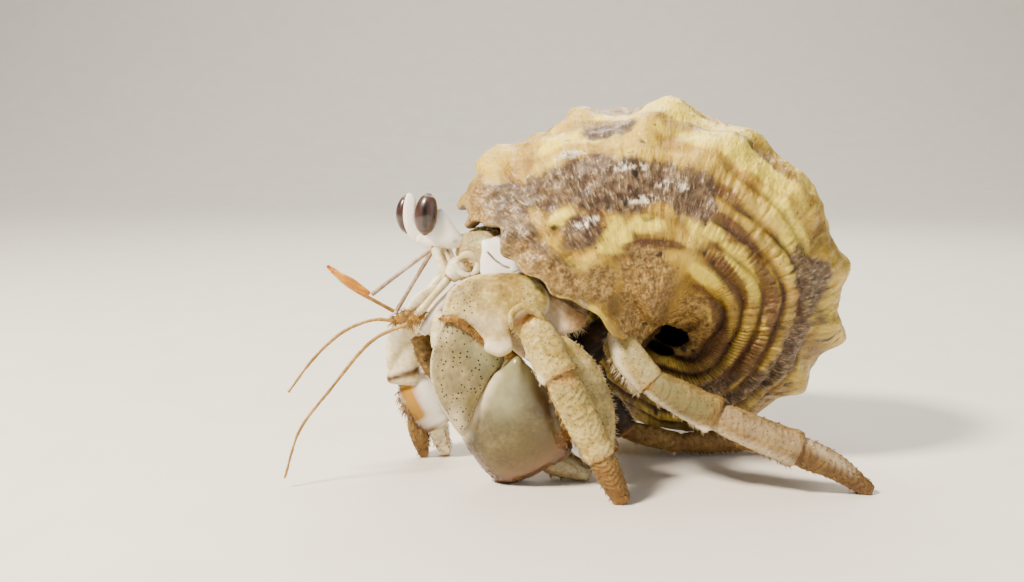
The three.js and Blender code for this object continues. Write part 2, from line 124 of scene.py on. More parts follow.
def smoothLine(points, count, closed=False):  # a line through the points, evenly walked
    points = np.asarray(points, float)
    if closed:
        padded = np.vstack([points[-1:], points, points[:2]])
    else:
        padded = np.vstack([2 * points[0] - points[1], points, 2 * points[-1] - points[-2]])
    walked = []
    for i in range(len(padded) - 3):
        walked.append(catmull(*padded[i:i + 4], np.linspace(0, 1, 40, endpoint=False)[:, None]))
    walked = np.vstack(walked + [padded[-2:-1]])
    steps = np.concatenate([[0], np.cumsum(np.linalg.norm(np.diff(walked, axis=0), axis=1))])
    at = np.linspace(0, steps[-1], count, endpoint=not closed)
    return np.stack([np.interp(at, steps, walked[:, k]) for k in range(3)], axis=1), steps[-1]


def nearLine(points, line, width):  # 1 on a line of (x, z) places, fading over `width`
    flat = points[..., [0, 2]]
    line = np.asarray(line, float)
    nearest = np.linalg.norm(flat - line[0], axis=-1)
    for start, end in zip(line[:-1], line[1:]):
        along = end - start
        part = np.clip(((flat - start) @ along) / (along @ along), 0, 1)
        nearest = np.minimum(nearest, np.linalg.norm(flat - start - part[..., None] * along, axis=-1))
    return np.exp(-(nearest / width) ** 2)


def makeMesh(name, points, faces, masks=None, uv=None):
    mesh = bpy.data.meshes.new(name)
    mesh.from_pydata(toMetres(points).tolist(), [], faces)
    mesh.update()
    mesh.polygons.foreach_set("use_smooth", np.ones(len(mesh.polygons), bool))
    for mask, values in (masks or {}).items():
        layer = mesh.attributes.new(mask, "FLOAT", "POINT")
        layer.data.foreach_set("value", np.asarray(values, np.float32).ravel())
    if uv is not None:
        layer = mesh.uv_layers.new(name="OFBake")
        corners = np.empty(len(mesh.loops), int)
        mesh.loops.foreach_get("vertex_index", corners)
        layer.data.foreach_set("uv", np.asarray(uv, np.float32)[corners].ravel())
    piece = bpy.data.objects.new(name, mesh)
    bpy.context.scene.collection.objects.link(piece)
    return piece


def gridFaces(rows, columns):  # rings of points joined into a closed skin
    row, column = np.meshgrid(np.arange(rows - 1), np.arange(columns), indexing="ij")
    a = row * columns + column
    b = row * columns + (column + 1) % columns
    faces = np.stack([a, b, b + columns, a + columns], axis=-1).reshape(-1, 4).tolist()
    faces.append(list(range(columns))[::-1])
    faces.append([(rows - 1) * columns + i for i in range(columns)])
    return faces


def gridNormals(grid):
    along = np.gradient(grid, axis=0)
    around = np.roll(grid, -1, axis=1) - np.roll(grid, 1, axis=1)
    return unit(np.cross(around, along))


def settle(piece, material, slot, *nodes):  # finish, body and the CAD nodes it stands for
    piece.data.materials.append(material)
    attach(piece, "root")
    if nodes:
        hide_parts(*nodes)


def addNode(tree, kind, settings=None, inputs=None, output=0):
    node = tree.nodes.new("ShaderNode" + kind)
    for key, value in (settings or {}).items():
        if key != "stops":
            setattr(node, key, value)
            continue
        elements = node.color_ramp.elements
        while len(elements) < len(value):
            elements.new(0.5)
        for element, (place, colour) in zip(elements, value):
            element.position = place
            element.color = hexColour(colour) if isinstance(colour, str) else (colour,) * 3 + (1,)
    for key, value in (inputs or {}).items():
        if isinstance(value, bpy.types.NodeSocket):
            tree.links.new(value, node.inputs[key])
        else:
            node.inputs[key].default_value = hexColour(value) if isinstance(value, str) else value
    return node.outputs[output]


def newMaterial(name, settings):
    material = bpy.data.materials.new(name)
    material.use_nodes = True
    tree = material.node_tree
    shader = tree.nodes["Principled BSDF"]
    for key, value in settings.items():
        shader.inputs[key].default_value = value
    return material, tree, shader


camera = {
    "place": (-7.5, -118, 39),
    "pitch": 8.34,  # degrees below level
    "lens": 35,
    "sensor": 36,
    "nearest": 5,
    "farthest": 5000,
}


def makeCamera():
    data = bpy.data.cameras.new("camera")
    data.lens = camera["lens"]
    data.sensor_width = camera["sensor"]
    data.clip_start = camera["nearest"] * mm
    data.clip_end = camera["farthest"] * mm
    piece = bpy.data.objects.new("camera", data)
    piece.location = toMetres(camera["place"])
    piece.rotation_euler = (math.radians(90 - camera["pitch"]), 0, 0)
    bpy.context.scene.collection.objects.link(piece)
    bpy.context.scene.camera = piece


makeCamera()
print("camera made")


shell = {
    "rim": 28.2,  # axis to the outer edge of the lip
    "growth": 2.12,  # each whorl against the one before
    "lip": 149,  # degrees round the axis where the last whorl stops
    "whorls": 2.4,
    "wall": 1.3,
    "mouthDepth": 80,  # degrees that the open mouth reaches back
    "umbilicus": (9.5, -6, 17.2),
    "drop": 33.5,  # umbilicus to the tip of the spire
    "yaw": 11,
    "tilt": 6,
    "offAxis": 0.52,  # the tube's section, as shares of the rim
    "halfBreadth": 0.48,
    "belowTip": 0.9,
    "halfHeight": 0.5,
    "hollowDrop": 5.0,  # how far the navel lies below the coiling axis
    "rings": {"early": 120, "late": 820, "lip": 6, "inside": 64},
    "columns": 250,
}

relief = {  # heights are shares of the tube's half breadth
    "cordSpacing": 13.6,  # degrees of the section between cords
    "cordHeight": 0.04,
    "knobSpacing": 24,  # degrees of a turn between knobs
    "knobHeight": 0.165,
    "foldHeight": 0.14,
    "lumpSize": 6.5,
    "lumpHeight": 0.1,
    "dentSize": 3,
    "dentHeight": 0.022,
    "roughSize": 1.3,
    "roughHeight": 0.012,
    "growthLine": 1.5,  # degrees of a turn between growth lines
    "lineHeight": 0.009,
    "ropeRib": 2.7,  # degrees of a turn between the ribs across the lower cords
    "ribHeight": 0.012,
    "crustGrain": 0.55,
    "crustHeight": 0.014,
    "hollowDepth": 0.2,
    "pitSize": 1.0,
    "pitDepth": 0.25,  # millimetres, the same on every whorl
    "dome": {"around": 97, "over": 125, "halfTurn": 27, "halfSection": 20, "height": 0.15},
}

# each stain: degrees round the axis, degrees round the section, and its half sizes
shellStains = {
    "violet": [(145, 78, 9, 36), (126, 84, 9, 10), (107, 30, 8, 8), (20, 48, 15, 13), (-12, 62, 16, 10),
               (-38, 66, 20, 9), (-60, 84, 24, 8)],
    "lemon": [(127, 72, 9, 5), (115, 90, 10, 9), (98, 88, 10, 5), (72, 84, 10, 7), (40, 88, 18, 6),
              (112, 32, 14, 7), (30, 50, 24, 10), (70, 34, 22, 9), (60, 108, 16, 5), (88, 14, 20, 8),
              (148, 118, 3, 6)],
    "chalk": [(118, 44, 5, 2), (121, 80, 5, 2), (103, 58, 8, 2), (88, 67, 7, 3), (96, 75, 8, 2),
              (149, 112, 2, 5)],
    "rust": [(106, 72, 14, 4), (70, 62, 7, 4), (92, 98, 20, 3), (44, 98, 28, 5), (20, 80, 24, 5),
             (-10, 112, 44, 7), (-30, 86, 26, 8), (60, 76, 16, 4), (2, 60, 20, 5), (120, 84, 8, 5),
             (30, 117, 40, 3)],
    "crust": [(100, 124, 31, 21), (134, 110, 13, 12), (24, 131, 62, 15), (130, 140, 24, 16),
              (0, 144, 130, 24), (146, 96, 8, 24), (147, 30, 7, 22)],
}
# the navel's spots: sunk into the shell and painted near black as painted shade
navelShadeSpots = [(-95, 128, 23, 12), (-150, 143, 37, 17)]
violetBand = {"from": 147, "to": 70, "high": 36, "low": 74, "reach": 28, "halfWidth": 16}


def shellFrame():  # the coiling axis, the two ways across it, and the tip
    yaw, tilt = math.radians(shell["yaw"]), math.radians(shell["tilt"])
    toTip = np.array((math.cos(tilt) * math.sin(yaw), math.cos(tilt) * math.cos(yaw), math.sin(tilt)))
    right = unit(np.array((1.0, 0, 0)) - toTip * toTip[0])
    up = np.cross(right, toTip)
    return toTip, right, up, np.array(shell["umbilicus"]) + shell["drop"] * toTip


def whorlSize(around):
    return shell["rim"] * shell["growth"] ** ((around - shell["lip"]) / 360)


def shellPoints(around, over, reach, inset):
    # `around` is degrees round the axis, and `over` degrees round the tube:
    # 0 at the rim, 90 at the base and 180 on the inner side
    toTip, right, up, tip = shellFrame()
    size = whorlSize(around)
    section, turn = np.radians(over), np.radians(around)
    off = shell["offAxis"] * size + (shell["halfBreadth"] * size * reach - inset) * np.cos(section)
    below = shell["belowTip"] * size + (shell["halfHeight"] * size * reach - inset) * np.sin(section)
    drop = shell["hollowDrop"] * size / shell["rim"] * between(over, 105, 175)
    return (tip - below[..., None] * toTip + (off * np.cos(turn))[..., None] * right
            + (off * np.sin(turn) - drop)[..., None] * up)


def stainMask(around, over, spots, ragged):
    total = np.zeros_like(around)
    for middle, height, halfTurn, halfSection in spots:
        far = np.hypot((around - middle) / halfTurn, (over - height) / halfSection)
        total = np.maximum(total, 1 - between(far + ragged, 0.75, 1.15))
    return total


def violetBandMask(around, over, ragged):  # the long rubbed band below the shoulder
    band = violetBand
    middle = band["low"] - (band["low"] - band["high"]) * np.exp((around - band["from"]) / band["reach"])
    far = np.abs(over - middle) / band["halfWidth"] + 2 * between(band["to"] - around, -6, 10)
    return 1 - between(far + 1.2 * ragged, 0.7, 1.0)


def shellDome(around, over, plain):  # the swelling beside the navel
    dome = relief["dome"]
    far = np.hypot((around - dome["around"]) / dome["halfTurn"],
                   (over - dome["over"]) / dome["halfSection"])
    return 1 - between(far + 0.12 * noiseAt(plain, 5, 15, 2), 0.2, 1.15)


def shellCords(around, over, plain, domed):  # spiral cords: their crests, how far they show, and where
    wave = 2.5 * np.sin(np.radians(around * 5))
    wave = wave + (4.5 + 4 * between(over, 112, 135)) * noiseAt(plain, 8, 3, 2)
    widened = over - 0.58 * np.maximum(over - 112, 0)  # the folds round the navel are the widest
    phase = 2 * np.pi * (widened + wave) / relief["cordSpacing"]
    crest = np.abs(np.cos(phase / 2)) ** 0.75
    onBase = between(over, 36, 68) * (1 - between(over, 145, 165))
    young = 1 - between(around + 0.5 * (over - 80), 30, 88)  # cords soften towards the lip
    faint = 0.07 + 0.13 * between(over, 38, 60)
    shown = (faint + (1 - faint) * young * onBase) * between(over, -80, -40) * (1 - between(over, 148, 170))
    return crest, shown * (1 - 0.85 * domed), young


def shellKnobs(around, over, plain):  # knobs on the rim, slanting folds below them, valleys between
    phase = 2 * np.pi * (around - shell["lip"]) / relief["knobSpacing"]
    phase = phase + 0.9 * noiseAt(plain, 12, 8, 1)
    train = (0.5 - 0.5 * np.cos(phase)) ** 2
    leaning = (0.5 - 0.5 * np.cos(phase - over / 22)) ** 1.5
    uneven = 0.7 + 0.6 * noiseAt(plain, 16, 19, 1)
    knob = uneven * bump(over, 3, 13) * train
    fold = uneven * bump(over, 30, 24) * leaning
    valley = 0.5 * bump(over, 24, 26) * (1 - leaning) * uneven
    return knob, fold, valley


def growthLines(around, over, plain):  # fine lines along the lip's old edges, and broad stripes
    flat = np.zeros_like(over)
    swing = around / relief["growthLine"] + 0.5 * np.sin(np.radians(over * 2))
    swing = swing + 1.6 * noiseAt(plain, 6, 31, 2)
    lines = noiseAt(np.stack([swing, over / 30, flat], -1), 1, 2, 3)
    lines = lines * (1 - 0.85 * between(over, 84, 118))
    stripe = noiseAt(np.stack([around / 9, over / 40, flat], -1), 1, 71, 3)
    return lines, stripe


def ropeRibs(around, over, plain, crest, young):  # short ribs that make the lower cords look roped
    ribs = 0.5 - 0.5 * np.cos(2 * np.pi * around / relief["ropeRib"] + 5 * noiseAt(plain, 2.5, 16, 2))
    ribs = ribs * between(noiseAt(plain, 4, 18, 2), -0.5, 0.3)
    roped = between(over, 62, 88) * (1 - between(over, 102, 118)) * young * between(crest, 0.3, 0.8)
    return ribs, roped


def shellHollow(around, over, dents):  # 1 inside the navel
    navel = stainMask(around, over, navelShadeSpots, 0.1 * dents)
    deeper = 18 * (1 - between(around, -30, 30))
    return np.maximum(between(over + deeper, 144, 164) + (1 - between(over, -178, -160)), navel)


def shellSurface(around, over):  # how far the surface reaches out, and where each colour lies
    plain = shellPoints(around, over, np.ones_like(around), np.zeros_like(around))
    lumps = noiseAt(plain, relief["lumpSize"], 11, 3)
    dents = noiseAt(plain, relief["dentSize"], 12, 3)
    rough = noiseAt(plain, relief["roughSize"], 14, 3)
    domed = shellDome(around, over, plain)
    crest, shown, young = shellCords(around, over, plain, domed)
    knob, fold, valley = shellKnobs(around, over, plain)
    lines, stripe = growthLines(around, over, plain)
    ribs, roped = ropeRibs(around, over, plain, crest, young)
    pits = between(noiseAt(plain, relief["pitSize"], 21, 1), 0.62, 0.76)
    pits = pits * between(noiseAt(plain, 5, 22, 2), -0.1, 0.3)
    hollow = shellHollow(around, over, dents)

    ragged = 0.6 * noiseAt(plain, 3.0, 41, 4) + 0.16 * lines
    stains = {kind: stainMask(around, over, spots, ragged) for kind, spots in shellStains.items()}
    stains["violet"] = np.maximum(stains["violet"], violetBandMask(around, over, ragged))
    stains["lemon"] = stains["lemon"] * (1 - stains["violet"])

    upper = between(over, -30, 10) * (1 - between(over, 60, 110))
    nearLip = between(around, 100, 140) * between(over, -20, 10)
    beads = (1 + 0.4 * lines + 0.35 * rough) * (1 + 0.9 * between(over, 112, 128))
    height = relief["cordHeight"] * (2 * crest - 1) * shown * beads
    height = height + relief["knobHeight"] * knob
    height = height + relief["foldHeight"] * fold
    height = height + relief["lumpHeight"] * lumps * (0.45 + 0.55 * upper)
    height = height + relief["dentHeight"] * dents * (1 + 1.1 * nearLip + 0.8 * upper)
    height = height + relief["lineHeight"] * lines
    height = height + relief["roughHeight"] * rough * (1 + nearLip + 0.7 * upper)
    height = height + relief["ribHeight"] * roped * (2 * ribs - 1)
    height = height + relief["dome"]["height"] * domed
    height = height + relief["crustHeight"] * stains["crust"] * grainsAt(plain, relief["crustGrain"], 5)
    height = height - relief["hollowDepth"] * hollow

    dome = relief["dome"]
    # the grooves between cords are marked to be painted dark brown: partly the shell's own brown, partly
    # painted shade
    deepest = between(1 - crest, 0.25, 0.8) * np.clip(1.25 * shown, 0, 1)
    deepest = deepest * (1 - 0.55 * between(over, 112, 130))
    # painted shade: places sunk between lumps, knobs and folds are marked 'low' and painted darker brown
    sunk = valley - lumps - (0.5 + 0.5 * nearLip) * dents - fold * 0.7 - knob * 0.6
    # painted shade: the dome's lower side is painted darker through the 'shade' mask
    underDome = (over - dome["over"]) / 15 + (dome["around"] - around) / 20
    masks = {
        "groove": deepest * (0.55 + 0.45 * between(dents, -0.4, 0.2)),
        "pits": pits,
        "crest": between(crest, 0.5, 0.95) * np.clip(1.2 * shown, 0, 1) * (1 - 0.6 * roped * (1 - ribs)),
        "ribs": roped * (1 - ribs),
        "turnAt": around,
        "sectionAt": over,
        "shade": domed * between(underDome, -0.4, 1.2),
        "lines": between(lines, -0.1, 0.6),
        "dark": between(-lines, 0.0, 0.7),
        "low": between(sunk, -0.1, 0.55) * (1 - 0.6 * shown),
        "stripe": between(stripe, 0.0, 0.4) * between(over, 30, 75),
        # partly the older whorls' own brown, partly painted shade: darker and browner on the older whorls
        "old": (1 - between(around - 0.3 * over, -55, 25)) * between(over, 10, 60),
        "knob": np.clip(knob + 0.6 * fold, 0, 1),
        # painted shade: 1 inside the navel, which is painted near black
        "hollow": np.clip(hollow, 0, 1),
        "farSide": between(-over, 15, 50) * between(noiseAt(plain, 7, 77, 3), -0.3, 0.2),
        **stains,
    }
    return 1 + height - relief["pitDepth"] / whorlSize(around) * pits, masks


def lipWaves(over):  # the lip's worn edge, in degrees of a turn: a flap below, a notch over the carapace
    wave = 1.9 * np.sin(np.radians(over * 5)) + 1.5 * np.sin(np.radians(over * 11 + 40))
    wave = wave + 1.0 * np.sin(np.radians(over * 23 + 10))
    return wave + 5 * bump(over, 128, 16) - 1.3 * bump(over, 60, 13)


def makeShell():
    rings, lipAt = shell["rings"], shell["lip"]
    over = np.linspace(180, -180, shell["columns"], endpoint=False)
    lastTurn = lipAt - 400
    early = np.linspace(lipAt - shell["whorls"] * 360, lastTurn, rings["early"], endpoint=False)
    outerAround = np.concatenate([early, np.linspace(lastTurn, lipAt, rings["late"])])
    around, places = np.meshgrid(outerAround, over, indexing="ij")
    wave = lipWaves(places)
    around = around + wave * between(around, lipAt - 25, lipAt)
    reach, masks = shellSurface(around, places)
    outer = shellPoints(around, places, reach, np.zeros_like(around))

    # the lip's edge turns over the wall's thickness
    edgeReach = np.repeat(reach[-1:], rings["lip"], axis=0)
    inward = np.linspace(0, 1, rings["lip"])[:, None]
    lipAround = lipAt + wave[-1:] + 0.9 * np.sin(np.pi * inward)
    lipPlaces = np.repeat(places[-1:], rings["lip"], axis=0)
    lip = shellPoints(lipAround, lipPlaces, edgeReach, shell["wall"] * inward ** 1.2)

    # the inside runs back to a closed end behind the body
    mouthEnd = lipAt - shell["mouthDepth"]
    inAround, inPlaces = np.meshgrid(np.linspace(lipAt, mouthEnd, rings["inside"])[1:], over, indexing="ij")
    depth = (lipAt - inAround) / shell["mouthDepth"]
    narrow = 0.72 + 0.28 * np.minimum(1, (1 - depth) * shell["mouthDepth"] / 30)
    fade = between(depth, 0, 0.12)
    innerReach = narrow * (edgeReach[-1:] * (1 - fade) + fade)
    innerAround = inAround + wave[-1:] * (1 - between(depth, 0, 0.3))
    inner = shellPoints(innerAround, inPlaces, innerReach, np.full_like(inAround, shell["wall"]))

    grid = np.concatenate([outer, lip, inner])
    outerRows = len(outerAround)
    lipRows = slice(outerRows, outerRows + rings["lip"])
    spread = {name: np.zeros(grid.shape[:2]) for name in (*masks, "inside", "lipEdge")}
    for name, values in masks.items():
        spread[name][:outerRows] = values
        spread[name][lipRows] = values[-1:]
    # painted shade: the mouth's inside is marked to be painted dark brown
    spread["inside"][outerRows + 2:] = 1
    spread["lipEdge"][:outerRows] = between(around, lipAt - 7, lipAt)
    spread["lipEdge"][lipRows] = 1
    return makeMesh("turban_shell", grid.reshape(-1, 3), gridFaces(*grid.shape[:2]), spread)


def wornTurbanShell():
    # layered aragonite worn by sand: waxy yellow crests, dark brown grooves that are partly its own colour
    # and partly painted shade, a violet-grey layer with silvery flecks where the outside has rubbed
    # through, and chalk where it is bruised; painted shade also darkens the sunken places, the older
    # whorls, the dome's lower side, the navel and the mouth's inside
    material, tree, shader = newMaterial("sandWornTurbanShell", {
        "Roughness": 0.46, "IOR": 1.53, "Specular IOR Level": 0.33, "Coat Weight": 0.11,
        "Coat Roughness": 0.24})
    place = addNode(tree, "TexCoord", output="Object")
    cloud = addNode(tree, "TexNoise", inputs={"Vector": place, "Scale": perMm(6), "Detail": 5.0})
    fleck = addNode(tree, "TexNoise", inputs={"Vector": place, "Scale": perMm(0.9), "Detail": 4.0})
    grain = addNode(tree, "TexNoise", inputs={"Vector": place, "Scale": perMm(0.35), "Detail": 3.0})

    # growth lines run across the whorl: a stroke is 0.9 degrees of a turn wide and 5 degrees long,
    # about four times as coarse as real ones, so that it shows
    turnAt = addNode(tree, "Attribute", {"attribute_name": "turnAt"}, output="Fac")
    sectionAt = addNode(tree, "Attribute", {"attribute_name": "sectionAt"}, output="Fac")
    strokeAt = addNode(tree, "CombineXYZ", inputs={0: turnAt, 1: sectionAt})
    strokeAt = addNode(tree, "VectorMath", {"operation": "MULTIPLY"}, {0: strokeAt, 1: (1 / 0.9, 1 / 5, 0)})
    strokes = addNode(tree, "TexNoise", inputs={
        "Vector": strokeAt, "Scale": 1.0, "Detail": 4.0, "Roughness": 0.62})

    colour = addNode(tree, "ValToRGB", {"stops": [
        (0.3, "#5f430c"), (0.43, "#937014"), (0.56, "#bf9820"), (0.7, "#dfc448")]}, {0: cloud})
    violet = addNode(tree, "Math", {"operation": "MULTIPLY_ADD"}, {0: strokes, 1: 1.2, 2: fleck})
    violet = addNode(tree, "Math", {"operation": "MULTIPLY"}, {0: violet, 1: 0.47})
    violet = addNode(tree, "ValToRGB", {"stops": [
        (0.42, "#35261a"), (0.5, "#54412f"), (0.57, "#6f5a42"), (0.66, "#917a58")]}, {0: violet})
    glint = addNode(tree, "ValToRGB", {"stops": [(0.59, 0.0), (0.68, 1.0)]}, {0: strokes})
    broken = addNode(tree, "Math", {"operation": "MULTIPLY_ADD"}, {0: strokes, 1: 1.0, 2: fleck})
    broken = addNode(tree, "Math", {"operation": "MULTIPLY"}, {0: broken, 1: 0.5})
    broken = addNode(tree, "ValToRGB", {"stops": [(0.46, 0.0), (0.58, 1.0)]}, {0: broken})
    scratch = addNode(tree, "ValToRGB", {"stops": [(0.34, 1.0), (0.47, 0.0)]}, {0: strokes})
    crust = addNode(tree, "Math", {"operation": "MULTIPLY_ADD"}, {0: grain, 1: 1.3, 2: fleck})
    crust = addNode(tree, "Math", {"operation": "MULTIPLY"}, {0: crust, 1: 0.435})
    crust = addNode(tree, "ValToRGB", {"stops": [
        (0.38, "#523a1a"), (0.5, "#876834"), (0.6, "#b8965a")]}, {0: crust})
    farBrown = addNode(tree, "ValToRGB", {"stops": [(0.4, "#5a3f1c"), (0.6, "#947230")]}, {0: cloud})
    patches = addNode(tree, "ValToRGB", {"stops": [(0.4, 0.2), (0.6, 1.0)]}, {0: cloud})

    layers = [  # a mask painted on the mesh, a pattern that breaks it up, a colour, and its strength
        # partly own brown, partly painted shade on the older whorls
        ("old", None, "#4e2f10", 0.72),
        ("stripe", None, "#764a12", 0.75),
        # painted shade in the sunken places
        ("low", None, "#6b4a18", 0.8),
        ("crest", patches, "#e0c656", 0.85),
        ("knob", None, "#e0c858", 0.6),
        ("dark", None, "#4a300e", 0.35),
        ("lines", None, "#ead070", 0.3),
        ("farSide", None, farBrown, 0.75),
        ("lemon", None, "#f9e04a", 0.85),
        ("rust", None, "#522a0a", 0.85),
        (None, scratch, "#4a300e", 0.35),
        (None, glint, "#f0dc92", 0.25),
        ("ribs", None, "#4a2c0c", 0.35),
        # partly own brown, partly painted shade in the grooves
        ("groove", None, "#301b0a", 0.92),
        ("violet", None, violet, 0.95),
        ("violet", glint, "#c6b898", 0.6),
        ("crust", None, crust, 0.9),
        # painted shade on the dome's lower side
        ("shade", None, "#4a3319", 0.8),
        ("chalk", broken, "#f6eed8", 0.9),
        ("lipEdge", None, "#a0854a", 0.4),
        # painted shade: the navel near black
        ("hollow", None, "#0c0704", 1.0),
        ("pits", None, "#150d07", 0.9),
        # painted shade: the mouth's inside dark brown
        ("inside", None, "#3d2812", 1.0),
    ]
    for mask, pattern, paint, strength in layers:
        shown = addNode(tree, "Attribute", {"attribute_name": mask}, output="Fac") if mask else pattern
        shown = addNode(tree, "Math", {"operation": "MULTIPLY", "use_clamp": True}, {0: shown, 1: strength})
        if mask and pattern:
            shown = addNode(tree, "Math", {"operation": "MULTIPLY"}, {0: shown, 1: pattern})
        colour = addNode(tree, "Mix", {"data_type": "RGBA"}, {0: shown, 6: colour, 7: paint}, 2)
    specks = addNode(tree, "TexVoronoi", inputs={"Vector": place, "Scale": perMm(1.9)}, output="Distance")
    specks = addNode(tree, "ValToRGB", {"stops": [(0.06, 0.8), (0.09, 0.0)]}, {0: specks})
    colour = addNode(tree, "Mix", {"data_type": "RGBA"}, {0: specks, 6: colour, 7: "#2f241a"}, 2)
    tree.links.new(colour, shader.inputs["Base Color"])

    dull = addNode(tree, "ValToRGB", {"stops": [(0.4, 0.58), (0.62, 0.27)]}, {0: fleck})
    tree.links.new(dull, shader.inputs["Roughness"])
    height = addNode(tree, "Math", {"operation": "MULTIPLY_ADD"}, {0: fleck, 1: 1.6, 2: grain})
    height = addNode(tree, "Math", {"operation": "MULTIPLY_ADD"}, {0: strokes, 1: 2.2, 2: height})
    wear = addNode(tree, "Bump", inputs={"Strength": 0.75, "Distance": 0.13 * mm, "Height": height})
    tree.links.new(wear, shader.inputs["Normal"])
    return material


settle(makeShell(), wornTurbanShell(), "shell", "shell")
print("shell made")


def cuticle(name, look):  # chitin hardened with lime: pale, waxy, dotted, browner at its joints
    material, tree, shader = newMaterial(name, {
        "Roughness": look["roughness"], "IOR": 1.5, "Specular IOR Level": look.get("shine", 0.3),
        "Coat Weight": look.get("coat", 0.04), "Coat Roughness": 0.22,
        "Subsurface Weight": look.get("glow", 0.06), "Subsurface Scale": 0.5 * mm,
        "Subsurface Radius": (1.0, 0.75, 0.5)})
    place = addNode(tree, "TexCoord", output="Object")
    cloud = addNode(tree, "TexNoise", inputs={"Vector": place, "Scale": perMm(2.6), "Detail": 5.0})
    # the surface's own pits are about 0.05 mm apart, and are drawn coarser so that they show
    grit = addNode(tree, "TexNoise", inputs={"Vector": place, "Scale": perMm(0.28), "Detail": 3.0})
    sand = addNode(tree, "TexNoise", inputs={"Vector": place, "Scale": perMm(0.5), "Detail": 4.0})
    mottle = addNode(tree, "Math", {"operation": "MULTIPLY_ADD"}, {
        0: sand, 1: look.get("mottle", 0.7), 2: cloud})
    mottle = addNode(tree, "MapRange", inputs={0: mottle, 1: 0.5, 2: 1.2, 3: 0.1, 4: 0.9})
    colour = addNode(tree, "ValToRGB", {"stops": [
        (0.25, look["deep"]), (0.5, look["base"]), (0.75, look["light"])]}, {0: mottle})
    tints = {
        "grain": look["light"], "stain": "#b0803f", "brown": "#8f5f2f", "pale": "#eadcbc",
        "grey": "#97916e", "yellow": "#a39550", "groove": "#4d4036", "socket": "#7c4420",
        **look.get("tints", {})}
    for mask, tint in tints.items():
        shown = addNode(tree, "Attribute", {"attribute_name": mask}, output="Fac")
        colour = addNode(tree, "Mix", {"data_type": "RGBA"}, {0: shown, 6: colour, 7: tint}, 2)
    if "dot" in look:  # pores of the hairs, a real half millimetre apart
        cells = addNode(tree, "TexVoronoi", inputs={
            "Vector": place, "Scale": perMm(look["dotEvery"]), "Randomness": 0.85}, output="Distance")
        dots = addNode(tree, "ValToRGB", {"stops": [
            (look["dotSize"] * 0.75, 1.0), (look["dotSize"], 0.0)]}, {0: cells})
        dotted = addNode(tree, "Attribute", {"attribute_name": "dotted"}, output="Fac")
        dots = addNode(tree, "Math", {"operation": "MULTIPLY"}, {0: dots, 1: dotted})
        colour = addNode(tree, "Mix", {"data_type": "RGBA"}, {0: dots, 6: colour, 7: look["dot"]}, 2)
    dirt = addNode(tree, "Attribute", {"attribute_name": "dirt"}, output="Fac")
    specks = addNode(tree, "ValToRGB", {"stops": [(0.46, 0.0), (0.6, 1.0)]}, {0: sand})
    dirt = addNode(tree, "Math", {"operation": "MULTIPLY"}, {0: dirt, 1: specks})
    colour = addNode(tree, "Mix", {"data_type": "RGBA"}, {0: dirt, 6: colour, 7: "#6f4c26"}, 2)
    tree.links.new(colour, shader.inputs["Base Color"])
    pitted = addNode(tree, "Bump", inputs={
        "Strength": look["grain"], "Distance": 0.05 * mm, "Height": grit})
    tree.links.new(pitted, shader.inputs["Normal"])
    return material


